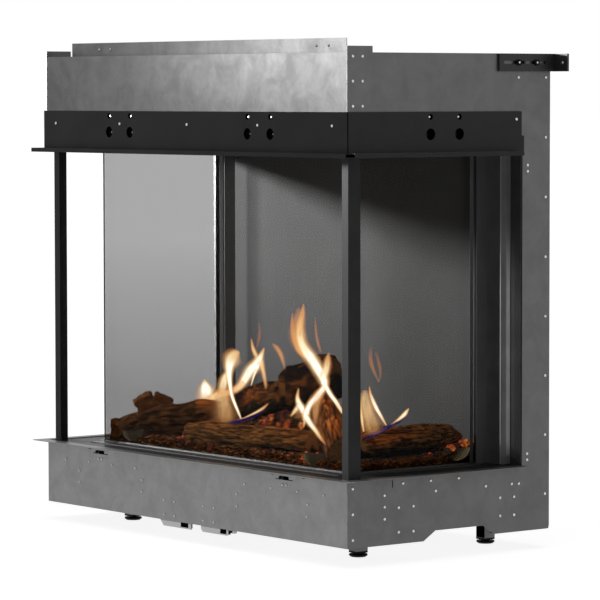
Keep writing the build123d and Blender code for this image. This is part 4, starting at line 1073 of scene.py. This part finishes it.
# Flames: slim closed tongues, clear at their edges. Each station is across, behind the
# front, up, half width (millimetres), how strong and how hot.
flames = {
    "leftFlame": (
        (-213, 205, 271, 17.8, 0.35, 0.45), (-215, 205, 286, 18.9, 0.8, 0.8),
        (-216, 205, 299, 16.9, 0.95, 1), (-220, 205, 313, 10.2, 0.9, 0.95),
        (-223, 205, 325, 1.8, 0.5, 0.7),
    ),
    "leftBand": (
        (-205, 205, 278, 6.7, 0.5, 0.5), (-187, 205, 288, 10, 0.8, 0.8), (-165, 205, 296, 9.9, 0.7, 0.7),
        (-135, 205, 301, 8.4, 0.65, 0.65), (-106, 205, 312, 7.9, 0.7, 0.7),
        (-80, 205, 328, 6.6, 0.6, 0.7),
    ),
    "middleFlame": (
        (-123, 215, 305, 4.8, 0.75, 0.8), (-104, 215, 317, 7.5, 0.9, 0.9),
        (-86, 215, 334, 10.1, 0.95, 0.95), (-68, 215, 353, 11.8, 0.95, 1),
        (-46, 215, 367, 12.2, 0.95, 1), (-32, 215, 383, 7.8, 0.9, 0.95), (-17, 215, 406, 1.5, 0.5, 0.6),
    ),
    "middleLeg": (
        (-30, 215, 377, 6.5, 0.8, 0.8), (-23, 215, 362, 5.2, 0.8, 0.75), (-18, 215, 347, 4.4, 0.7, 0.7),
        (-13, 215, 330, 3.7, 0.55, 0.6), (-7, 215, 313, 2.2, 0.25, 0.5),
    ),
    "middleInner": (
        (-43, 215, 359, 3.5, 0.7, 0.9), (-54, 215, 343, 2.6, 0.8, 0.95), (-64, 215, 321, 1.3, 0.6, 0.8),
    ),
    "middleTongue": (
        (-37, 215, 376, 4.4, 0.6, 0.7), (-50, 215, 393, 4.8, 0.75, 0.75),
        (-58, 215, 406, 3.7, 0.7, 0.65), (-63, 215, 424, 1.3, 0.4, 0.5),
    ),
    "middleWisp": (
        (-43, 215, 405, 1.7, 0.2, 0.35), (-35, 215, 428, 3.9, 0.28, 0.35),
        (-33, 215, 444, 3.5, 0.25, 0.3), (-36, 215, 460, 1.5, 0.15, 0.3),
    ),
    "curtain": (
        (-136, 200, 232, 24.4, 0.2, 0.5), (-140, 200, 247, 24.7, 0.42, 0.6),
        (-144, 200, 265, 22.5, 0.5, 0.66), (-147, 200, 282, 19.1, 0.52, 0.7),
        (-147, 200, 295, 15.9, 0.45, 0.7), (-141, 200, 309, 11.2, 0.25, 0.65),
    ),
    "hookLine": (
        (-77, 198, 246, 1.5, 0.6, 0.8), (-87, 198, 260, 2.9, 0.9, 0.95), (-102, 198, 281, 3.5, 1, 1),
        (-113, 198, 300, 4, 1, 1), (-118, 198, 320, 4.8, 1, 1), (-121, 198, 339, 6.6, 1, 1),
        (-121, 198, 353, 9.5, 0.95, 1), (-118, 198, 366, 13.2, 0.9, 0.95),
        (-111, 198, 378, 17.1, 0.85, 0.85), (-100, 198, 388, 13.2, 0.8, 0.75),
        (-85, 198, 394, 3.1, 0.6, 0.6),
    ),
    "hookLobe": (
        (-151, 202, 297, 10.2, 0.4, 0.6), (-150, 202, 313, 11, 0.8, 0.8),
        (-144, 202, 329, 9.7, 0.85, 0.85), (-134, 202, 345, 5.7, 0.8, 0.85),
    ),
    "baseBlue": (
        (-179, 196, 224, 1.3, 0.4, 0), (-145, 196, 229, 3.3, 0.9, 0), (-101, 196, 238, 3.7, 0.95, 0),
        (-58, 196, 249, 3.5, 0.95, 0), (-18, 196, 262, 2.8, 0.8, 0), (10, 196, 273, 1.3, 0.4, 0.1),
    ),
    "baseEdge": (
        (-88, 197, 245, 1.1, 0.4, 0.5), (-55, 197, 254, 2, 0.8, 0.7), (-23, 197, 266, 2.6, 0.95, 0.8),
        (2, 197, 277, 2.8, 0.8, 0.7), (20, 197, 288, 1.3, 0.4, 0.5),
    ),
    "thinWisp": (
        (18, 245, 361, 1.7, 0.25, 0.45), (11, 245, 378, 3.9, 0.5, 0.5), (1, 245, 395, 5.2, 0.6, 0.5),
        (-14, 245, 407, 4.8, 0.5, 0.45), (-26, 245, 413, 1.7, 0.25, 0.4),
    ),
    "tallFlame": (
        (228, 190, 335, 6.4, 1, 1), (224, 190, 349, 9.5, 1, 1), (214, 190, 365, 11.4, 1, 1),
        (197, 190, 381, 11.9, 1, 1), (179, 190, 397, 12.3, 0.95, 1), (159, 190, 413, 11.5, 0.9, 0.9),
        (146, 190, 429, 10.7, 0.85, 0.85), (141, 190, 448, 10.7, 0.8, 0.75),
        (143, 190, 468, 9, 0.7, 0.65), (150, 190, 491, 6, 0.6, 0.55), (154, 190, 511, 1.5, 0.35, 0.5),
    ),
    "tallStrand": (
        (156, 192, 398, 5.5, 0.6, 0.6), (139, 192, 407, 5.6, 0.65, 0.6), (123, 192, 424, 5.3, 0.6, 0.55),
        (114, 192, 447, 4.7, 0.55, 0.5), (112, 192, 468, 3.9, 0.5, 0.45), (113, 192, 490, 1.5, 0.3, 0.4),
    ),
    "tallFill": (
        (172, 191, 402, 8, 0.3, 0.6), (148, 191, 418, 13, 0.42, 0.6), (132, 191, 438, 15, 0.45, 0.58),
        (129, 191, 460, 13, 0.4, 0.55), (132, 191, 482, 9, 0.3, 0.5), (136, 191, 502, 3, 0.2, 0.45),
    ),
    "tallBranch": (
        (223, 188, 357, 6.8, 0.8, 0.9), (232, 188, 373, 8.5, 0.85, 0.85), (237, 188, 388, 8, 0.75, 0.75),
        (240, 188, 401, 5.9, 0.6, 0.6), (243, 188, 412, 1.9, 0.3, 0.5),
    ),
    "tallWisp": (
        (214, 190, 412, 1.9, 0.25, 0.4), (205, 190, 426, 3.4, 0.4, 0.4),
        (198, 190, 447, 3.6, 0.35, 0.35), (195, 190, 466, 3, 0.3, 0.35), (193, 190, 485, 1.3, 0.15, 0.3),
    ),
    "splitLeft": (
        (240, 180, 340, 6.3, 1, 1), (225, 180, 328, 6.8, 1, 1), (209, 180, 315, 7, 1, 1),
        (192, 180, 302, 6.6, 1, 1), (180, 180, 288, 6.6, 1, 1), (174, 180, 274, 7.7, 1, 1),
        (177, 180, 267, 6.8, 1, 1),
    ),
    "splitRight": (
        (279, 150, 346, 5, 0.95, 1), (289, 150, 336, 5, 1, 1), (301, 150, 325, 4.6, 1, 1),
        (314, 150, 315, 4.4, 1, 0.95), (326, 150, 304, 4, 0.95, 0.9), (344, 150, 287, 2.7, 0.8, 0.8),
    ),
    "lowRight": (
        (264, 110, 282, 6.3, 1, 1), (274, 110, 273, 6.3, 0.95, 1), (284, 110, 265, 5.7, 0.9, 0.95),
        (298, 110, 254, 4.6, 0.85, 0.85), (311, 110, 243, 3.8, 0.8, 0.7),
        (331, 110, 228, 1.7, 0.6, 0.15),
    ),
    "lowDrop": (
        (212, 150, 282, 5.5, 0.9, 1), (209, 150, 269, 4, 0.85, 0.85), (204, 150, 252, 1.5, 0.4, 0.5),
    ),
    "smallFlame": (
        (165, 185, 276, 6.4, 1, 1), (154, 185, 288, 7.3, 1, 1), (143, 185, 300, 6, 0.95, 0.95),
        (139, 185, 313, 3.8, 0.85, 0.8), (143, 185, 330, 1.5, 0.4, 0.6),
    ),
    "lobeLeft": (
        (149, 184, 297, 5.1, 0.9, 0.95), (134, 184, 283, 4.7, 0.85, 0.85),
        (116, 184, 268, 1.7, 0.5, 0.6),
    ),
    "lobeFill": (
        (145, 186, 292, 4.3, 0.35, 0.7), (144, 186, 279, 9.1, 0.28, 0.6), (141, 186, 266, 10.9, 0.14, 0.5),
    ),
    "foldPale": (
        (255, 160, 333, 7.5, 0.3, 0.68), (240, 160, 315, 10, 0.45, 0.64),
        (233, 160, 296, 8.5, 0.45, 0.6), (232, 160, 277, 7, 0.38, 0.56),
        (232, 160, 260, 5, 0.2, 0.5),
    ),
    "rightCurtain": (
        (403, 182, 254, 19.5, 0.2, 0.55), (403, 173, 274, 19.8, 0.45, 0.64),
        (403, 165, 295, 16.9, 0.54, 0.7), (403, 158, 316, 13.8, 0.56, 0.72),
        (403, 156, 331, 10.5, 0.48, 0.74), (403, 157, 345, 6, 0.2, 0.65),
    ),
    "rightEdge": (
        (404, 212, 269, 1.7, 0.6, 0.7), (404, 199, 287, 3.3, 0.9, 0.9), (404, 187, 304, 3.9, 1, 1),
        (404, 177, 321, 3.9, 1, 0.95), (404, 170, 336, 2.9, 0.8, 0.75), (404, 167, 353, 1.2, 0.35, 0.5),
    ),
    "rightInner": (
        (404, 152, 259, 1.7, 0.6, 0.7), (404, 148, 279, 2.9, 0.85, 0.8),
        (404, 145, 300, 2.9, 0.75, 0.75), (404, 144, 323, 1.7, 0.4, 0.6),
    ),
    "rightBlue": (
        (406, 147, 245, 1.2, 0.5, 0), (406, 167, 249, 3.3, 0.95, 0), (406, 194, 257, 4, 0.95, 0),
        (406, 223, 267, 3.5, 0.95, 0), (406, 248, 276, 2.7, 0.85, 0), (406, 265, 286, 1.3, 0.5, 0.1),
    ),
    "rightTip": (
        (405, 224, 269, 1.3, 0.4, 0.5), (405, 243, 278, 2.9, 0.9, 0.8), (405, 260, 288, 4.2, 0.95, 0.9),
        (405, 268, 296, 2.9, 0.8, 0.8), (405, 273, 301, 1, 0.4, 0.6),
    ),
    "rightWisp": (
        (360, 229, 355, 1.7, 0.18, 0.35), (360, 216, 377, 3.3, 0.3, 0.38),
        (360, 207, 398, 5.4, 0.3, 0.36), (360, 206, 417, 4.2, 0.22, 0.33),
        (360, 208, 432, 1.5, 0.1, 0.3),
    ),
    "rightWispTwo": (
        (355, 230, 353, 1.7, 0.15, 0.35), (355, 237, 371, 3.1, 0.25, 0.36),
        (355, 232, 397, 4.2, 0.22, 0.35), (355, 224, 418, 2.5, 0.14, 0.3),
    ),
}
flameMesh = {"around": 14, "between": 5, "flat": 0.3, "thinnest": 0.3, "wider": 1.55}
viewSide = Vector((0.617, 0.787, 0))  # along the picture: each tongue is wide this way


def smoothRun(stations, between):  # rounds the run through its stations
    rows = []
    last = len(stations) - 1
    for index in range(last):
        quartet = [stations[max(0, index - 1)], stations[index], stations[index + 1],
                   stations[min(last, index + 2)]]
        for step in range(between):
            t = step / between
            rows.append([0.5 * (2 * b + (c - a) * t + (2 * a - 5 * b + 4 * c - d) * t * t
                                + (3 * b - a - 3 * c + d) * t ** 3) for a, b, c, d in zip(*quartet)])
    rows.append(list(stations[last]))
    return rows


flameKeys = ("middle", "strength", "burning", "along", "across")


def makeFlame(name, stations):
    rows = smoothRun(stations, flameMesh["between"])
    clearSelection()
    bpy.ops.mesh.primitive_circle_add(vertices=flameMesh["around"], radius=1, fill_type="NGON")
    piece = takeNew(name)
    editAll(piece)
    for _ in rows[1:]:
        extrudeUp(1)
    bpy.ops.object.mode_set(mode="OBJECT")
    values = dict(zip(flameKeys, pointValues(piece, flameKeys)))
    rings = [[] for _ in rows]  # the vertices of each row, by their height
    for vertex in piece.data.vertices:
        rings[round(vertex.co.z)].append(vertex)
    places = [spotAt(*row[:3]) for row in rows]
    travelled = 0
    for number, row in enumerate(rows):
        ahead = places[min(number + 1, len(rows) - 1)] - places[max(number - 1, 0)]
        ahead.normalize()
        thick = Vector((viewSide.y, -viewSide.x, 0))
        thick = (thick - ahead * thick.dot(ahead)).normalized()
        side = ahead.cross(thick).normalized()
        if number:
            travelled += (places[number] - places[number - 1]).length
        width = max(flameMesh["thinnest"], row[3] * flameMesh["wider"]) / 1000
        for vertex in rings[number]:
            across, thickness, _ = vertex.co
            held = (1 - abs(across), limited(row[4]), limited(row[5]), travelled, across)
            for key, value in zip(flameKeys, held):
                values[key][vertex.index].value = value
            vertex.co = places[number] + side * (across * width) + thick * (
                thickness * max(width * flameMesh["flat"], 0.0003))
    pointOutwards(piece)
    bpy.ops.object.shade_smooth()
    return piece


def flameFinish():
    material, tree, mix = newMaterial("flame", "ShaderNodeMixShader")
    clear = tree.nodes.new("ShaderNodeBsdfTransparent")
    burning = tree.nodes.new("ShaderNodeEmission")
    parts = {key: attributeValue(tree, key) for key in flameKeys}
    veil = tree.nodes.new("ShaderNodeCombineXYZ")  # upright streaks that follow the flame
    for key, fineness, socket in (("across", 1.6, "X"), ("along", 22, "Y"), ("strength", 3, "Z")):
        tree.links.new(math2(tree, "MULTIPLY", parts[key], fineness), veil.inputs[socket])
    streaks = cloud(tree, veil.outputs["Vector"], 1.7, 3, 0.55, 0.4)
    soft = ramp(tree, parts["middle"], ((0.0, 0.0), (0.35, 0.36), (0.75, 1.0)))
    streakShare = ramp(tree, streaks, ((0.3, 0.62), (0.62, 1.0)))
    share = math2(tree, "MULTIPLY", math2(tree, "MULTIPLY", soft, parts["strength"]), streakShare)
    share = math2(tree, "MULTIPLY", math2(tree, "POWER", share, 1.2), 0.94)
    inner = ramp(tree, parts["middle"], ((0.0, 0.34), (0.3, 0.62), (0.7, 0.98)))
    warmth = math2(tree, "MULTIPLY", parts["burning"], inner)
    tree.links.new(ramp(tree, warmth, (
        (0.0, (0.018, 0.014, 0.11)), (0.18, (0.24, 0.08, 0.13)), (0.34, (0.88, 0.34, 0.13)),
        (0.55, (1.0, 0.48, 0.17)), (0.74, (1.0, 0.66, 0.30)), (0.87, (1.0, 0.86, 0.58)),
        (1.0, (1.0, 0.97, 0.86)))), burning.inputs["Color"])
    path = tree.nodes.new("ShaderNodeLightPath")  # the lamps below light the logs instead
    bounced = math2(tree, "MULTIPLY", path.outputs["Is Diffuse Ray"], 0.75)
    bounced = math2(tree, "SUBTRACT", 1.0, bounced)
    glow = ramp(tree, warmth, ((0.0, 0.5), (0.3, 0.56), (0.75, 0.78), (1.0, 1.0)))
    glow = math2(tree, "MULTIPLY", math2(tree, "MULTIPLY", glow, 2.5), bounced)
    tree.links.new(glow, burning.inputs["Strength"])
    for socket, value in zip(mix.inputs, (share, clear.outputs["BSDF"], burning.outputs["Emission"])):
        tree.links.new(value, socket)
    return material


flameMaterial = flameFinish()
for name, stations in flames.items():
    finishPiece(makeFlame("flame_" + name, stations), "base", flameMaterial)
print("flames made:", len(flames))


# The ground edge of the front glass shows as a thin pale line: a painted highlight.
glassBars = {  # slot, finish, bars, chamfer
    "glass_edge_left": ("fire_glass", paintedEdgeHighlight, (((-444.1, 88.2, 180), (-443.6, 91.8, 836)),), 0.02),
    "glass_edge_right": ("fire_glass", paintedEdgeHighlight, (((443.6, 88.2, 180), (444.1, 91.8, 836)),), 0.02),
}
placeBars(glassBars)
print("glass edges placed")


# The camera stands where the photograph was taken from.
cameraPlace = {
    "location": (5.9541, -4.6290, 0.9558),
    "back": (0.78595, -0.61546, 0.05909),
    "azimuth": 0.906458,
    "roll": -0.0013769,
    "lens": 207.99,
    "sensor": 36,
    "far": 200,
}
back = Vector(cameraPlace["back"]).normalized()
level = Vector((math.cos(cameraPlace["azimuth"]), math.sin(cameraPlace["azimuth"]), 0))
upward = back.cross(level)
rollCos, rollSin = math.cos(cameraPlace["roll"]), math.sin(cameraPlace["roll"])
rightAxis = level * rollCos + upward * rollSin
upAxis = upward * rollCos - level * rollSin
cameraData = bpy.data.cameras.new("photoCamera")
cameraData.lens = cameraPlace["lens"]
cameraData.sensor_width = cameraPlace["sensor"]
cameraData.clip_end = cameraPlace["far"]
camera = bpy.data.objects.new("photoCamera", cameraData)
turn = Matrix((rightAxis, upAxis, back)).transposed().to_4x4()
camera.matrix_world = Matrix.Translation(cameraPlace["location"]) @ turn
bpy.context.scene.collection.objects.link(camera)
bpy.context.scene.camera = camera


# Plain pale floor. What looks at it sees it nearly white, and it keeps the object's shadow.
floorLook = {"size": 160, "colour": 0.8, "varies": 0.03, "glow": (0.86, 1.0), "glowFrom": (1.0, 5.0)}
clearSelection()
bpy.ops.mesh.primitive_plane_add(size=floorLook["size"], location=(0, 0, -0.0005))
floor = takeNew("floor")
applyPlace(floor)
material, tree, shader = newMaterial("paleFloor")
setGloss(shader, 0.9, 0)
shade = cloud(tree, place(tree), 0.7, 2)
pale = floorLook["colour"]
setColour(tree, shader, ramp(tree, shade, ((0.3, pale), (0.7, pale + floorLook["varies"]))))
split = tree.nodes.new("ShaderNodeVectorMath")
split.operation = "LENGTH"
tree.links.new(place(tree), split.inputs[0])
away = tree.nodes.new("ShaderNodeMapRange")
for key, (low, high) in (("From", floorLook["glowFrom"]), ("To", floorLook["glow"])):
    away.inputs[key + " Min"].default_value = low
    away.inputs[key + " Max"].default_value = high
tree.links.new(split.outputs["Value"], away.inputs["Value"])
seen = math2(tree, "MULTIPLY", seenDirectly(tree), away.outputs["Result"])
tree.links.new(seen, shader.inputs["Emission Strength"])
shader.inputs["Emission Color"].default_value = (1, 1, 1, 1)
floor.data.materials.append(material)


# Soft studio light: a lamp low on the left, a card for the upper front, a lamp for the fire
# and a large soft one above. Metres and watts.
frontSheets = ("base_front_panel", "front_top_panel", "top_strip", "frame_front",
               "rivets_base_front", "rivets_frame_front", "rivets_strip")
leftSpared = frontSheets + ("floor", "rear_returns", "rear_post_left", "front_post_left", "top_plate")
leftPassed = ("thick_log_bark", "charred_log_bark", "glass_stiles", "rear_returns", "rear_post_left")
firePieces = [name + "_bark" for name in logs] + [*blocks, *shells, "ember_ground", "glowing_embers"]
firePieces += ["ember_" + shade for shade in shades]
lamps = {
    "leftLamp": {"at": (-3.2, -1.5, 1.476), "to": (0.0, 0.19, 0.45), "size": (1.0, 0.35), "power": 400,
                 "spares": leftSpared, "passes": leftPassed},
    "frontCard": {"at": (-0.45, -1.35, 1.3), "to": (0.45, -0.27, 0.98), "size": (1.1, 0.7), "power": 23,
                  "only": ("front_top_panel", "top_strip")},
    "fireLamp": {"at": (1.1, -1.5, 1.5), "to": (0, -0.05, 0.2), "size": (0.8, 0.8), "power": 34,
                 "colour": (1, 0.86, 0.68), "only": firePieces},
    "topLamp": {"at": (0.6, -0.4, 4.2), "to": (0, 0, 0.3), "size": (3.0, 3.0), "power": 30},
}


def flagPieces(name, chosen, state):  # a collection that says what a lamp lights or spares
    flagged = bpy.data.collections.new(name)
    for item in chosen:
        flagged.objects.link(bpy.data.objects[item])
    for row in flagged.collection_objects:
        row.light_linking.link_state = state
    return flagged


def addLamp(name, kind, at, power, colour):
    data = bpy.data.lights.new(name, kind)
    data.energy = power
    data.color = colour
    lamp = bpy.data.objects.new(name, data)
    lamp.location = at
    lamp.visible_camera = False
    bpy.context.scene.collection.objects.link(lamp)
    return lamp


for name, look in lamps.items():
    lamp = addLamp(name, "AREA", look["at"], look["power"], look.get("colour", (1, 1, 1)))
    lamp.data.shape = "RECTANGLE"
    lamp.data.size, lamp.data.size_y = look["size"]
    aim = Vector(look["to"]) - Vector(look["at"])
    lamp.rotation_euler = aim.to_track_quat("-Z", "Y").to_euler()
    for key, state in (("only", "INCLUDE"), ("spares", "EXCLUDE")):
        if key in look:
            lamp.light_linking.receiver_collection = flagPieces(name + "Flags", look[key], state)
    if "passes" in look:  # the wall stays clear of these pieces' shadows
        lamp.light_linking.blocker_collection = flagPieces(name + "Passed", look["passes"], "EXCLUDE")

# The flames' own light on the logs and chips round them: place and power.
flameLamps = (((-0.10, -0.075, 0.345), 0.45), ((0.20, -0.095, 0.36), 0.7), ((0.30, -0.15, 0.30), 0.3),
              ((0.43, -0.085, 0.31), 0.35), ((-0.19, -0.08, 0.30), 0.2))
warmed = flagPieces("warmedByFlames", firePieces, "INCLUDE")
for number, (at, power) in enumerate(flameLamps):
    lamp = addLamp(f"flameLamp{number}", "POINT", at, power, (1, 0.48, 0.16))
    lamp.data.shadow_soft_size = 0.03
    lamp.light_linking.receiver_collection = warmed

surround = {"white": 1.0, "light": 0.08}  # what is seen, and what lights the object
world = bpy.data.worlds.new("studio")
bpy.context.scene.world = world
world.use_nodes = True
tree = world.node_tree
tree.nodes.clear()
output = tree.nodes.new("ShaderNodeOutputWorld")
mix = tree.nodes.new("ShaderNodeMixShader")
tree.links.new(seenDirectly(tree), mix.inputs["Fac"])
for socket, key in ((1, "light"), (2, "white")):
    backdrop = tree.nodes.new("ShaderNodeBackground")
    backdrop.inputs["Color"].default_value = (1, 1, 1, 1)
    backdrop.inputs["Strength"].default_value = surround[key]
    tree.links.new(backdrop.outputs["Background"], mix.inputs[socket])
tree.links.new(mix.outputs["Shader"], output.inputs["Surface"])

bpy.context.scene.view_settings.view_transform = "Standard"
print("scene ready")
